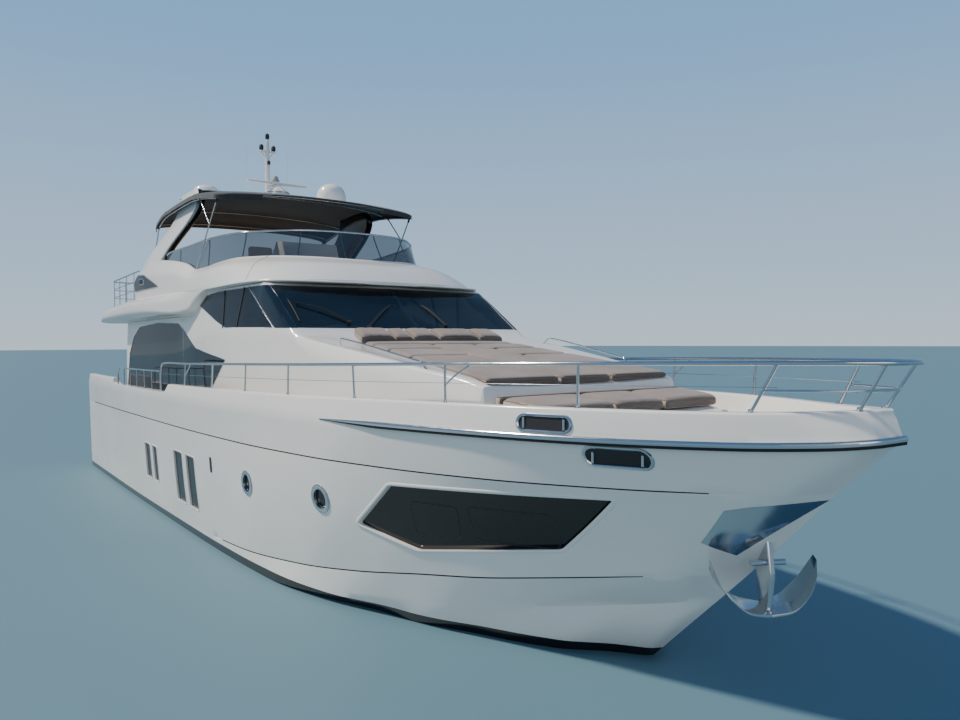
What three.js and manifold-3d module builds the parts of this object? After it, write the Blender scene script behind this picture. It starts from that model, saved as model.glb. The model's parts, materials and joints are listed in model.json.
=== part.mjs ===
// A 26 m flybridge motor yacht afloat, built as separate named pieces.
// Millimetres. +X points to the bow, +Y to port, +Z up, and z = 0 is the waterline amidships.
import * as THREE from "three";
import { mergeVertices } from "three/addons/utils/BufferGeometryUtils.js";
import Module from "manifold-3d";

const wasm = await Module();
wasm.setup();

// Driving dimensions
const GAP = 0.3; // between pieces that rest on each other
const RUNNING_GAP = 12; // around pieces that turn or slide
const HULL_AFT = -12300; // the long lines run aft to here before the transom is cut
const BULWARK_THICKNESS = 170;
const SHELL = 70; // wall of the deckhouse
const GLASS = 22; // thickness of every pane
const PANE_GAP = 6; // joint around a pane
const RAIL_RADIUS = 24;
const POST_RADIUS = 17;
const STATION_STEP = 900; // spacing of hull and deckhouse sections

// Finishes: colour, roughness, metalness
const FINISH = {
  gelcoat: [0xf3f3ef, 0.25, 0],
  antifoul: [0x14161a, 0.7, 0],
  steel: [0xc8ccd0, 0.18, 1],
  glass: [0x1a2c3a, 0.05, 0],
  smoked: [0x5d6b75, 0.08, 0],
  canvas: [0x2b2d31, 0.9, 0],
  vinyl: [0x9a8d82, 0.65, 0],
  teak: [0xb08a5b, 0.7, 0],
  bronze: [0xb08d57, 0.3, 1],
  dark: [0x202225, 0.5, 0],
  leather: [0xd8cfc0, 0.6, 0],
};

// Long lines of the hull, each row: x, half-breadth, height
const HULL_LINES = {
  keel: [
    [HULL_AFT, 0, -750],
    [-8000, 0, -1010],
    [-4000, 0, -1250],
    [0, 0, -1380],
    [4000, 0, -1380],
    [6500, 0, -1250],
    [8000, 0, -1000],
    [9000, 0, -640],
    [9650, 0, -260],
    [10020, 0, 30],
  ],
  bottom: [
    [HULL_AFT, 1500, -480],
    [-4000, 1700, -700],
    [0, 1800, -760],
    [4000, 2000, -560],
    [6700, 1850, -150],
    [8150, 1330, 0],
    [9040, 860, 0],
    [9620, 400, 80],
    [10000, 150, 110],
    [10230, 0, 240],
  ],
  lowerChine: [
    [HULL_AFT, 2800, -180],
    [-4000, 2880, -140],
    [0, 2880, -100],
    [2000, 2850, -60],
    [4000, 2760, 10],
    [5350, 2530, 100],
    [6700, 2100, 240],
    [7970, 1670, 430],
    [9110, 990, 600],
    [10350, 340, 840],
    [11000, 0, 1000],
  ],
  chine: [
    [HULL_AFT, 2840, 60],
    [-4000, 2920, 130],
    [740, 2900, 230],
    [2700, 2850, 300],
    [4900, 2640, 480],
    [6350, 2340, 650],
    [7500, 2000, 820],
    [8500, 1650, 950],
    [9300, 1310, 1080],
    [10000, 990, 1200],
    [10700, 600, 1310],
    [11390, 0, 1390],
  ],
  flare: [
    [HULL_AFT, 2880, 1100],
    [0, 3020, 1200],
    [3200, 2960, 1270],
    [5600, 2720, 1420],
    [7200, 2330, 1560],
    [8600, 1880, 1680],
    [9900, 1340, 1800],
    [10900, 860, 1880],
    [11550, 430, 1920],
    [11930, 0, 1950],
  ],
  knuckle: [
    [HULL_AFT, 2900, 2180],
    [-5400, 3060, 2235],
    [0, 3090, 2270],
    [3200, 3030, 2300],
    [5600, 2830, 2325],
    [7200, 2500, 2335],
    [9100, 2010, 2375],
    [10740, 1370, 2425],
    [11450, 990, 2450],
    [12050, 560, 2465],
    [12420, 0, 2475],
  ],
  deckEdge: [
    [HULL_AFT, 2930, 2780],
    [-8000, 3090, 2850],
    [0, 3150, 2900],
    [3000, 3100, 2920],
    [5000, 2950, 2930],
    [7000, 2650, 2935],
    [9000, 2200, 2950],
    [10500, 1700, 2965],
    [11800, 1070, 2990],
    [12600, 560, 3030],
    [12950, 240, 3070],
    [13080, 0, 3100],
  ],
  bulwark: [
    [HULL_AFT, 2910, 3080],
    [-8000, 3070, 3095],
    [0, 3110, 3170],
    [3400, 3040, 3220],
    [5600, 2830, 3245],
    [7000, 2600, 3270],
    [9000, 2160, 3300],
    [10400, 1710, 3315],
    [11800, 1030, 3330],
    [12550, 530, 3360],
    [12880, 210, 3380],
    [12980, 0, 3385],
  ],
};

// Profile of the transom, in x and z
const TRANSOM = [
  [-11750, -2000],
  [-11750, 60],
  [-11700, 1100],
  [-11650, 2180],
  [-11450, 2780],
  [-11300, 3100],
  [-11250, 4200],
];

// Level of the deck inside the bulwarks, each row: x, height
const DECK = [
  [-11600, 2250],
  [-8100, 2250],
  [-8099, 2500],
  [-1300, 2500],
  [-700, 2780],
  [6000, 2820],
  [12900, 2960],
];

// Outer form of the deckhouse, each row:
// x, half-breadth at the deck, at the belt, belt height, at the eave, eave height, height on the centreline
const HOUSE = [
  [-8050, 2500, 2500, 3700, 2460, 4700, 4700],
  [-2600, 2500, 2510, 3900, 2470, 4700, 4700],
  [-900, 2520, 2570, 4200, 2500, 5120, 5140],
  [0, 2540, 2610, 4290, 2510, 5160, 5180],
  [2000, 2560, 2620, 4290, 2490, 5170, 5190],
  [2840, 2550, 2600, 4280, 2440, 5170, 5190],
  [3100, 2545, 2590, 4270, 2460, 5010, 5170],
  [3750, 2520, 2560, 4240, 2490, 4600, 4700],
  [4300, 2490, 2520, 4180, 2480, 4260, 4310],
  [4450, 2480, 2500, 4080, 2450, 4180, 4200],
  [5000, 2460, 2470, 3900, 2390, 4080, 3950],
  [6000, 2370, 2370, 3750, 2280, 3940, 3830],
  [7600, 2160, 2140, 3500, 2060, 3700, 3620],
  [8790, 1930, 1900, 3250, 1840, 3480, 3440],
  [8850, 1920, 1890, 3100, 1830, 3220, 3160],
  [9800, 1700, 1680, 3020, 1600, 3110, 3090],
  [10050, 1560, 1540, 2980, 1460, 3000, 3010],
];

// Flybridge deck moulding, each row:
// x, soffit height, wing half-breadth, wing low and high edge, half-breadth of the flat top, floor height
const FLY = [
  [-9450, 4690, 2920, 4700, 4790, 2740, 4800],
  [-9200, 4680, 2980, 4700, 4880, 2770, 4930],
  [-8700, 4690, 3020, 4720, 5080, 2800, 5150],
  [-7200, 4700, 3030, 4750, 5190, 2800, 5250],
  [-5500, 4700, 3030, 4760, 5250, 2790, 5260],
  [-3780, 4700, 3000, 4740, 5250, 2760, 5260],
  [-2750, 4700, 2940, 4690, 5250, 2740, 5260],
  [-1830, 4700, 2820, 4640, 5245, 2720, 5260],
  [-1100, 4700, 2700, 4700, 5240, 2690, 5260],
  [-600, 4900, 2670, 4960, 5235, 2660, 5260],
  [100, 5150, 2660, 5170, 5235, 2640, 5260],
  [2000, 5180, 2620, 5190, 5235, 2560, 5260],
  [2600, 5180, 2540, 5190, 5230, 2480, 5255],
  [3000, 5180, 2300, 5190, 5225, 2200, 5250],
  [3250, 5180, 1700, 5190, 5220, 1600, 5240],
  [3400, 5180, 700, 5190, 5215, 600, 5225],
];
const FLY_FLOOR_Z = 5260;
const FLY_MARGIN = 260; // from the edge of the flat top to the edge of the floor
const FLY_COAMING = 150; // thickness of the coaming at its rim
const COAMING_PARTS = 1; // spans between two rows of its table

// Coaming round the flybridge, from aft to the middle of its front, each row:
// foot x and y, rim x, y and height, height of the smoked screen's top above the rim
const COAMING = [
  [-5560, 2770, -5500, 2680, 6000, 0],
  [-4660, 2770, -4640, 2640, 6160, 0],
  [-3780, 2750, -3760, 2600, 6150, 0],
  [-3100, 2740, -3080, 2580, 6090, 170],
  [-2400, 2730, -2380, 2560, 6010, 260],
  [-1750, 2710, -1750, 2530, 5900, 380],
  [-1120, 2690, -1120, 2490, 5725, 580],
  [-560, 2670, -600, 2450, 5735, 590],
  [220, 2660, 60, 2370, 5790, 550],
  [1250, 2620, 820, 2170, 5840, 510],
  [2150, 2520, 1420, 1800, 5840, 510],
  [2820, 2240, 1900, 1370, 5820, 530],
  [3200, 1620, 2180, 890, 5800, 550],
  [3350, 820, 2290, 430, 5785, 565],
  [3390, 0, 2320, 0, 5780, 570],
];

// Monotone cubic through the rows of a table, read in one of its columns
function follow(rows, column) {
  const n = rows.length;
  const x = rows.map((r) => r[0]);
  const y = rows.map((r) => r[column]);
  const slope = [];
  for (let i = 0; i < n - 1; i++) slope.push((y[i + 1] - y[i]) / (x[i + 1] - x[i]));
  const tangent = y.map((_, i) => {
    if (i === 0) return slope[0];
    if (i === n - 1) return slope[n - 2];
    if (slope[i - 1] * slope[i] <= 0) return 0;
    return (2 * slope[i - 1] * slope[i]) / (slope[i - 1] + slope[i]);
  });
  return (at) => {
    if (at <= x[0]) return y[0];
    if (at >= x[n - 1]) return y[n - 1];
    let i = 0;
    while (at > x[i + 1]) i++;
    const h = x[i + 1] - x[i];
    const t = (at - x[i]) / h;
    return (
      y[i] * (1 + 2 * t) * (1 - t) ** 2 +
      y[i + 1] * t * t * (3 - 2 * t) +
      tangent[i] * h * t * (1 - t) ** 2 +
      tangent[i + 1] * h * t * t * (t - 1)
    );
  };
}

// Stations from one x to another, keeping every x of the table
function stations(rows, step) {
  const out = [];
  rows.forEach((row, i) => {
    out.push(row[0]);
    if (i === rows.length - 1) return;
    const gap = rows[i + 1][0] - row[0];
    const parts = Math.max(1, Math.round(gap / step));
    for (let k = 1; k < parts; k++) out.push(row[0] + (gap * k) / parts);
  });
  return out;
}

// A closed mesh as a solid
function solid(geometry) {
  const plain = new THREE.BufferGeometry();
  const source = geometry.index ? geometry.toNonIndexed() : geometry;
  plain.setAttribute("position", source.getAttribute("position"));
  const merged = mergeVertices(plain, 1e-3);
  const index = merged.index.array;
  const triVerts = [];
  for (let i = 0; i < index.length; i += 3) {
    const [a, b, c] = [index[i], index[i + 1], index[i + 2]];
    if (a !== b && b !== c && c !== a) triVerts.push(a, b, c);
  }
  const vertProperties = merged.attributes.position.array;
  return new wasm.Manifold(
    new wasm.Mesh({ numProp: 3, vertProperties, triVerts: new Uint32Array(triVerts) }),
  );
}

function geometryOf(manifold) {
  const mesh = manifold.getMesh();
  const geometry = new THREE.BufferGeometry();
  geometry.setAttribute("position", new THREE.BufferAttribute(mesh.vertProperties, 3));
  geometry.setIndex(new THREE.BufferAttribute(mesh.triVerts, 1));
  const flat = geometry.toNonIndexed();
  flat.computeVertexNormals();
  return flat;
}

// Triangles that close a loop of points
function capOf(loop) {
  const normal = new THREE.Vector3();
  loop.forEach((p, i) => {
    const q = loop[(i + 1) % loop.length];
    normal.x += (p[1] - q[1]) * (p[2] + q[2]);
    normal.y += (p[2] - q[2]) * (p[0] + q[0]);
    normal.z += (p[0] - q[0]) * (p[1] + q[1]);
  });
  if (normal.length() < 1) return [];
  const size = [Math.abs(normal.x), Math.abs(normal.y), Math.abs(normal.z)];
  const drop = size.indexOf(Math.max(...size));
  const [u, v] = [0, 1, 2].filter((k) => k !== drop);
  const flat = loop.map((p) => new THREE.Vector2(p[u], p[v]));
  return THREE.ShapeUtils.triangulateShape(flat, []);
}

// A solid through loops of equal length
function loft(loops) {
  const n = loops[0].length;
  const position = [];
  const push = (...points) => points.forEach((p) => position.push(...p));
  for (let s = 0; s < loops.length - 1; s++)
    for (let i = 0; i < n; i++) {
      const j = (i + 1) % n;
      const [a, b, c, d] = [loops[s][i], loops[s][j], loops[s + 1][j], loops[s + 1][i]];
      push(a, b, c, a, c, d);
    }
  const first = loops[0];
  const last = loops[loops.length - 1];
  const forward = capTurnsForward(first, capOf(first));
  for (const [i, j, k] of capOf(first))
    forward ? push(first[k], first[j], first[i]) : push(first[i], first[j], first[k]);
  const lastForward = capTurnsForward(last, capOf(last));
  for (const [i, j, k] of capOf(last))
    lastForward ? push(last[i], last[j], last[k]) : push(last[k], last[j], last[i]);
  const geometry = new THREE.BufferGeometry();
  geometry.setAttribute("position", new THREE.Float32BufferAttribute(position, 3));
  if (volumeOf(position) < 0) turnInsideOut(geometry);
  return solid(geometry);
}

// Whether the cap's triangles run the same way round as their loop
function capTurnsForward(loop, triangles) {
  for (const tri of triangles)
    for (let e = 0; e < 3; e++) {
      const [a, b] = [tri[e], tri[(e + 1) % 3]];
      if (b === (a + 1) % loop.length) return true;
      if (a === (b + 1) % loop.length) return false;
    }
  return true;
}

function volumeOf(p) {
  let sum = 0;
  for (let i = 0; i < p.length; i += 9)
    sum +=
      p[i] * (p[i + 4] * p[i + 8] - p[i + 5] * p[i + 7]) -
      p[i + 1] * (p[i + 3] * p[i + 8] - p[i + 5] * p[i + 6]) +
      p[i + 2] * (p[i + 3] * p[i + 7] - p[i + 4] * p[i + 6]);
  return sum;
}

function turnInsideOut(geometry) {
  const p = geometry.attributes.position.array;
  for (let i = 0; i < p.length; i += 9)
    for (let k = 0; k < 3; k++) [p[i + 3 + k], p[i + 6 + k]] = [p[i + 6 + k], p[i + 3 + k]];
}

// A flat outline pushed along an axis: "x", "y" or "z" names the axis left out of the outline
function slab(axis, outline, from, to) {
  const place = {
    x: ([a, b], t) => [t, a, b],
    y: ([a, b], t) => [a, t, b],
    z: ([a, b], t) => [a, b, t],
  }[axis];
  return loft([outline.map((p) => place(p, from)), outline.map((p) => place(p, to))]);
}

function box(x0, x1, y0, y1, z0, z1) {
  return slab("z", [[x0, y0], [x1, y0], [x1, y1], [x0, y1]], z0, z1);
}

// A loop with both halves of a section: its points run from the centreline out
function bothSides(half) {
  const other = half.filter((p) => p[1] > 0).map(([x, y, z]) => [x, -y, z]);
  return [...half, ...other.reverse()];
}

function union(parts) {
  return parts.reduce((a, b) => a.add(b));
}

// A tube with a mitred ring of corners at every point of its path
function tube(points, radius, sides = 6) {
  const path = points.map((p) => new THREE.Vector3(...p));
  const heading = path.slice(1).map((p, i) => p.clone().sub(path[i]).normalize());
  const upright = Math.abs(heading[0].z) > 0.9;
  const across = new THREE.Vector3(0, upright ? 1 : 0, upright ? 0 : 1).cross(heading[0]).normalize();
  const above = heading[0].clone().cross(across);
  const rings = path.map((p, i) => {
    const before = heading[Math.max(0, i - 1)];
    const after = heading[Math.min(heading.length - 1, i)];
    const miter = before.clone().add(after).normalize();
    const ring = Array.from({ length: sides }, (_, k) => {
      const angle = (2 * Math.PI * (k + 0.5)) / sides;
      const corner = across.clone().multiplyScalar(radius * Math.cos(angle));
      corner.addScaledVector(above, radius * Math.sin(angle));
      corner.addScaledVector(before, -corner.dot(miter) / before.dot(miter));
      return corner.add(p).toArray();
    });
    const turn = new THREE.Quaternion().setFromUnitVectors(before, after);
    across.applyQuaternion(turn);
    above.applyQuaternion(turn);
    return ring;
  });
  return loft(rings);
}

function rod(from, to, radius, sides = 8) {
  return tube([from, to], radius, sides);
}

// A solid of revolution about z, its profile rows: radius, height
function turned(profile, sides = 20) {
  const geometry = new THREE.LatheGeometry(
    profile.map(([r, z]) => new THREE.Vector2(r, z)),
    sides,
  );
  geometry.rotateX(Math.PI / 2);
  const flat = geometry.toNonIndexed();
  if (volumeOf(flat.attributes.position.array) < 0) turnInsideOut(flat);
  return solid(flat);
}

const yacht = new THREE.Group();

function add(name, manifold, finish) {
  const [color, roughness, metalness] = FINISH[finish];
  const material = new THREE.MeshStandardMaterial({ color, roughness, metalness });
  const mesh = new THREE.Mesh(geometryOf(manifold), material);
  mesh.name = name;
  yacht.add(mesh);
  return manifold;
}

// Sides of the yacht: name and sign of y
const SIDES = [
  ["port", 1],
  ["starboard", -1],
];

const mirrored = (manifold, sign) => (sign > 0 ? manifold : manifold.mirror([0, 1, 0]));

// Hull

const hullLines = Object.values(HULL_LINES);

// Point of a hull line at a share of its length, where 0 is the transom and 1 the stem
function hullPoint(rows, share) {
  const x = rows[0][0] + (rows[rows.length - 1][0] - rows[0][0]) * share;
  return [x, Math.max(0, follow(rows, 1)(x)), follow(rows, 2)(x)];
}

function hullShell() {
  const count = 34;
  const loops = [];
  for (let i = 0; i <= count; i++) {
    const share = 1 - (1 - i / count) ** 1.25;
    const half = hullLines.map((rows) => hullPoint(rows, share));
    const other = half.slice(1).map(([x, y, z]) => [x, -y, z]);
    loops.push([...half, ...other.reverse()]);
  }
  return loft(loops).subtract(asternOf(0));
}

// All that lies astern of the transom's profile moved forward by a distance
function asternOf(distance) {
  const aft = -14000;
  const profile = TRANSOM.map(([x, z]) => [x + distance, z]);
  return slab("y", [[aft, -2000], ...profile, [aft, 4200]], -4000, 4000);
}

const hullForm = hullShell();

const bulwarkY = follow(HULL_LINES.bulwark, 1);
const bulwarkZ = follow(HULL_LINES.bulwark, 2);
const deckEdgeY = follow(HULL_LINES.deckEdge, 1);
const deckEdgeZ = follow(HULL_LINES.deckEdge, 2);

const deckZ = (x) => {
  const i = Math.max(1, DECK.findIndex((row) => row[0] >= x));
  const [a, b] = [DECK[i - 1], DECK[i]];
  return a[1] + ((b[1] - a[1]) * (Math.max(x, a[0]) - a[0])) / (b[0] - a[0]);
};

// Space inside the bulwarks
function deckWell() {
  const inside = 12740;
  const xs = [
    HULL_AFT - 300, -11000, -8100, -8099, -6000, -4000, -1300, -700, 1000, 3000, 5000, 6500,
    8000, 9000, 10000, 10800, 11400, 11900, 12300, 12550, inside,
  ];
  const loops = xs.map((x) => {
    const y = Math.max(40, Math.min(bulwarkY(x), deckEdgeY(x)) - BULWARK_THICKNESS - wellTaper(x));
    const z = deckZ(Math.min(x, 12850));
    return bothSides([
      [x, 0, z],
      [x, y - 40, z],
      [x, y, z + 40],
      [x, y, 4000],
      [x, 0, 4000],
    ]);
  });
  return loft(loops);
}

// The bulwark thickens along its flare near the stem
const wellTaper = (x) => (x > 11000 ? ((x - 11000) / 1740) ** 2 * 150 : 0);

// Large window in the topsides, its outline in x and z
const HULL_WINDOW = [
  [6600, 1435],
  [7380, 2095],
  [10560, 2270],
  [9680, 1518],
  [7600, 1195],
];
const WINDOW_RECESS = 60;
const PANE_DEPTH = 25; // of the face of the pane below the topsides

function hull() {
  let body = hullForm.subtract(deckWell());
  body = body.subtract(slab("y", LOW_BULWARK, -4000, 4000));
  body = body.subtract(garage());
  body = body.subtract(sternSteps(1)).subtract(sternSteps(-1));
  const { x0, x1, halfWidth, depth } = LOCKER;
  body = body.subtract(box(x0, x1, -halfWidth, halfWidth, deckZ(x0) - depth, 4000));
  for (const [, sign] of SIDES) body = body.subtract(beyondDepth(HULL_WINDOW, WINDOW_RECESS, sign));
  return body;
}

// Low part of the bulwark abreast of the saloon, in x and z
const LOW_BULWARK = [
  [-7150, 3400],
  [-6950, 2930],
  [-1350, 2960],
  [-900, 3400],
];

const GARAGE = { x1: -9300, halfWidth: 1350, z0: 620, z1: 1880 };

function garage() {
  return box(-13000, GARAGE.x1, -GARAGE.halfWidth, GARAGE.halfWidth, GARAGE.z0, GARAGE.z1);
}

// Steps moulded in the stern on each side of the garage, from the bathing platform to the cockpit
const STERN_STEPS = { count: 7, run: 250, x: -11620, y0: 1560, y1: 2560, z0: 480, top: 2250 };

function sternSteps(sign) {
  const { count, run, x, y0, y1, z0, top } = STERN_STEPS;
  const rise = (top - z0) / count;
  const outline = [[-13000, 4000], [-13000, z0]];
  for (let i = 0; i < count; i++) {
    outline.push([x + run * i, z0 + rise * i]);
    outline.push([x + run * i, z0 + rise * (i + 1)]);
  }
  outline.push([x + run * count, top], [x + run * count, 4000]);
  return slab("y", outline, y0 * sign, y1 * sign);
}

// Chain locker under the foredeck
const LOCKER = { x0: 10950, x1: 11500, halfWidth: 280, depth: 350 };

// What lies inside an outline on one side and further out than a depth below the hull's surface
function beyondDepth(outline, depth, sign) {
  const inner = hullForm.translate([0, -depth * sign, 0]);
  return slab("y", outline, 300 * sign, 4000 * sign).subtract(inner);
}

const hullSolid = add("hull", hull(), "gelcoat");

for (const [side, sign] of SIDES) {
  const outline = drawnIn(HULL_WINDOW, PANE_GAP);
  const face = hullForm.translate([0, -PANE_DEPTH * sign, 0]);
  add("hull_window_" + side, beyondDepth(outline, WINDOW_RECESS - GAP, sign).intersect(face), "glass");
}

// The garage door follows the slope of the transom
const DOOR_GAP = 15;
const DOOR_THICKNESS = 90;

function garageDoor() {
  const y = GARAGE.halfWidth - DOOR_GAP;
  const opening = box(-13000, -11000, -y, y, GARAGE.z0 + DOOR_GAP, GARAGE.z1 - DOOR_GAP);
  return opening.intersect(asternOf(DOOR_THICKNESS)).subtract(asternOf(0));
}

add("garage_door", garageDoor(), "gelcoat");

// Chrome rubbing strake along the deck edge, from the flare round the bow
const STRAKE = { aft: 6050, depth: 90, proud: 45 };

// Points of the deck edge that the strake follows, from aft to just short of the stem
function strakeRows() {
  const xs = [];
  for (let x = STRAKE.aft; x < 11600; x += 560) xs.push(x);
  xs.push(11600, 12000, 12350, 12600, 12800, 12950, 13030);
  return xs.map((x, i) => {
    const slope = (deckEdgeY(x + 10) - deckEdgeY(x - 10)) / 20;
    const turn = Math.hypot(1, slope);
    const grow = Math.min(1, 0.25 + i * 0.25);
    return { x, y: deckEdgeY(x), z: deckEdgeZ(x), nx: -slope / turn, ny: 1 / turn, grow };
  });
}

// One sweep from the port side round the stem to starboard
function strake() {
  const port = strakeRows();
  const stem = { x: 13075, y: 0, z: deckEdgeZ(13075), nx: 1, ny: 0, grow: 1 };
  const starboard = port.map((row) => ({ ...row, y: -row.y, ny: -row.ny })).reverse();
  const loops = [...port, stem, ...starboard].map(({ x, y, z, nx, ny, grow }) => {
    const out = STRAKE.proud * grow;
    const half = (STRAKE.depth * grow) / 2;
    const at = (d, dz) => [x + nx * d, y + ny * d, z + dz];
    return [at(-60, -half), at(out, -half), at(out, half), at(-60, half)];
  });
  return loft(loops).subtract(hullForm.translate([GAP, 0, 0])).subtract(hullForm);
}

// Deckhouse

const houseColumn = [1, 2, 3, 4, 5, 6].map((column) => follow(HOUSE, column));

// Section of the deckhouse at x, drawn in by an inset
function houseSection(x, inset, root) {
  const base = deckZ(x) - root;
  const [deckY, beltY, beltZ, eaveY, eaveZ, crownZ] = houseColumn.map((f) => f(x));
  return bothSides([
    [x, 0, base],
    [x, deckY - inset, base],
    [x, beltY - inset, beltZ],
    [x, eaveY - inset, eaveZ - inset],
    [x, eaveY - inset - 90, Math.max(eaveZ, eaveZ + (crownZ - eaveZ) * 0.3) + 10 - inset],
    [x, (eaveY - inset) * 0.5, eaveZ + (crownZ - eaveZ) * 0.8 + 10 - inset],
    [x, 0, crownZ + 10 - inset],
  ]);
}

function house(inset, root) {
  const xs = stations(HOUSE, STATION_STEP);
  const last = xs.length - 1;
  const loops = xs.map((x, i) => {
    const shift = i === 0 ? inset : i === last ? -inset : 0;
    return houseSection(x, inset, root).map(([px, py, pz]) => [px + shift, py, pz]);
  });
  return loft(loops);
}

const HOUSE_ROOT = 60; // how far the walls reach below the deck before they are cut to it
const houseFull = house(0, HOUSE_ROOT);
const houseShell = houseFull.subtract(house(SHELL, HOUSE_ROOT + 100));
const houseGlass = houseFull.subtract(house(GLASS, HOUSE_ROOT + 100));

// Window outlines in the deckhouse sides, in x and z
const SALOON_WINDOW = [
  [-7930, 2760],
  [-7640, 3790],
  [-7180, 4260],
  [-6500, 4530],
  [-4500, 4600],
  [-2600, 4540],
  [-1920, 4330],
  [-920, 3950],
  [1180, 3720],
  [120, 3080],
  [-120, 2900],
];
const HELM_WINDOW = [
  [-900, 4940],
  [-560, 5060],
  [500, 5130],
  [2240, 5120],
  [3600, 4330],
  [1220, 4370],
  [600, 4520],
];
const SIDE_INSIDE = 1900; // the side cutters reach inwards to here
const SIDE_OUTSIDE = 3300;

// Outline drawn in by a gap along every edge
function drawnIn(outline, gap) {
  const turning = THREE.ShapeUtils.area(outline.map((p) => new THREE.Vector2(...p))) > 0 ? 1 : -1;
  const normal = (a, b) => {
    const t = new THREE.Vector2(b[0] - a[0], b[1] - a[1]).normalize();
    return new THREE.Vector2(-t.y * turning, t.x * turning);
  };
  return outline.map((p, i) => {
    const before = normal(outline[(i + outline.length - 1) % outline.length], p);
    const after = normal(p, outline[(i + 1) % outline.length]);
    const miter = before.clone().add(after).multiplyScalar(gap / (1 + before.dot(after)));
    return [p[0] + miter.x, p[1] + miter.y];
  });
}

// Windscreen: seen from ahead, each row of the outline is y, z
const WINDSCREEN = { x0: 2500, x1: 4420, mullion: 30, bottomZ: 4310, topZ: 5120, halfWidth: 2370 };

function windscreenCutter(y0, y1) {
  const { x0, x1, bottomZ, topZ } = WINDSCREEN;
  return box(x0, x1, y0, y1, bottomZ, topZ);
}

const DOORWAY = { y0: -900, y1: 900, z1: 4480 };

function deckhouse() {
  let body = houseShell;
  for (const [, sign] of SIDES) {
    const [y0, y1] = [SIDE_INSIDE * sign, SIDE_OUTSIDE * sign];
    body = body.subtract(slab("y", SALOON_WINDOW, y0, y1));
    body = body.subtract(slab("y", HELM_WINDOW, y0, y1));
    body = body.subtract(
      windscreenCutter(...[WINDSCREEN.mullion * sign, WINDSCREEN.halfWidth * sign].sort((a, b) => a - b)),
    );
  }
  body = body.subtract(box(-8300, -7900, DOORWAY.y0, DOORWAY.y1, 2200, DOORWAY.z1));
  return body.subtract(hullSolid.translate([0, 0, GAP]));
}

add("deckhouse", deckhouse(), "gelcoat");

function panes() {
  for (const [side, sign] of SIDES) {
    const [y0, y1] = [SIDE_INSIDE * sign, SIDE_OUTSIDE * sign];
    const saloon = slab("y", drawnIn(SALOON_WINDOW, PANE_GAP), y0, y1);
    add("saloon_glass_" + side, houseGlass.intersect(saloon), "glass");
    const helm = slab("y", drawnIn(HELM_WINDOW, PANE_GAP), y0, y1);
    add("helm_glass_" + side, houseGlass.intersect(helm), "glass");
    const inner = (WINDSCREEN.mullion + PANE_GAP) * sign;
    const outer = (WINDSCREEN.halfWidth - PANE_GAP) * sign;
    const cutter = box(
      WINDSCREEN.x0,
      WINDSCREEN.x1,
      Math.min(inner, outer),
      Math.max(inner, outer),
      WINDSCREEN.bottomZ + PANE_GAP,
      WINDSCREEN.topZ - PANE_GAP,
    );
    add("windscreen_" + side, houseGlass.intersect(cutter), "glass");
  }
}
panes();

// Aft sliding door of the saloon: a fixed pane to port and a sliding one to starboard
const DOOR = { width: 900, thickness: 40, z0: 2520, z1: 4460 };
add(
  "saloon_door_fixed",
  box(-8035, -8035 + DOOR.thickness, 6, 6 + DOOR.width - 20, DOOR.z0, DOOR.z1),
  "glass",
);
add(
  "saloon_door_sliding",
  box(-7960, -7960 + DOOR.thickness, -DOOR.width + 14, 40, DOOR.z0, DOOR.z1),
  "glass",
);

// Flybridge moulding

const flyColumn = [1, 2, 3, 4, 5, 6].map((column) => follow(FLY, column));

function flyLoop(x) {
  const [soffit, wingY, low, high, topY, floor] = flyColumn.map((f) => f(x));
  const rise = high - low;
  return bothSides([
    [x, 0, soffit],
    [x, wingY - 180, soffit],
    [x, wingY, low + rise * 0.15],
    [x, wingY, low + rise * 0.75],
    [x, Math.min(topY, wingY - 10), high],
    [x, topY - FLY_MARGIN, floor],
    [x, 0, floor],
  ]);
}

// Rows of the coaming with in-between rows, from port aft round the front to starboard aft
function coamingRows() {
  const parts = COAMING_PARTS;
  const rows = COAMING.map((row, i) => [i, ...row]);
  const columns = [1, 2, 3, 4, 5, 6].map((column) => follow(rows, column));
  const half = [];
  for (let i = 0; i <= (rows.length - 1) * parts; i++) half.push(columns.map((f) => f(i / parts)));
  const other = half.slice(0, -1).map(([fx, fy, rx, ry, ...rest]) => [fx, -fy, rx, -ry, ...rest]);
  return [...half, ...other.reverse()].map(([footX, footY, rimX, rimY, rimZ, screen]) => ({
    footX,
    footY,
    rimX,
    rimY,
    rimZ,
    screen,
  }));
}

// Unit vector in plan that points from the rim into the flybridge
function inwards(rows, i) {
  const a = rows[Math.max(0, i - 1)];
  const b = rows[Math.min(rows.length - 1, i + 1)];
  const t = new THREE.Vector2(b.rimX - a.rimX, b.rimY - a.rimY).normalize();
  return new THREE.Vector2(t.y, -t.x);
}

function coaming() {
  const rows = coamingRows();
  return loft(
    rows.map(({ footX, footY, rimX, rimY, rimZ }, i) => {
      const n = inwards(rows, i);
      const inX = rimX + n.x * FLY_COAMING;
      const inY = rimY + n.y * FLY_COAMING;
      const bulge = 0.14 * (rimZ - FLY_FLOOR_Z);
      const middle = [(footX + rimX) / 2, (footY + rimY) / 2, (FLY_FLOOR_Z + rimZ) / 2];
      return [
        [footX, footY, FLY_FLOOR_Z - 60],
        [footX, footY, FLY_FLOOR_Z - 20],
        [middle[0] - n.x * bulge, middle[1] - n.y * bulge, middle[2] + bulge],
        [rimX - n.x * 10, rimY - n.y * 10, rimZ - 30],
        [rimX + n.x * 25, rimY + n.y * 25, rimZ],
        [inX, inY, rimZ],
        [inX, inY, FLY_FLOOR_Z - 60],
      ];
    }),
  );
}

function flyMoulding() {
  const deck = loft(stations(FLY, STATION_STEP).map(flyLoop));
  return union([deck, coaming()]).subtract(houseFull.translate([0, 0, GAP]));
}

const flySolid = add("flybridge_moulding", flyMoulding(), "gelcoat");

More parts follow.
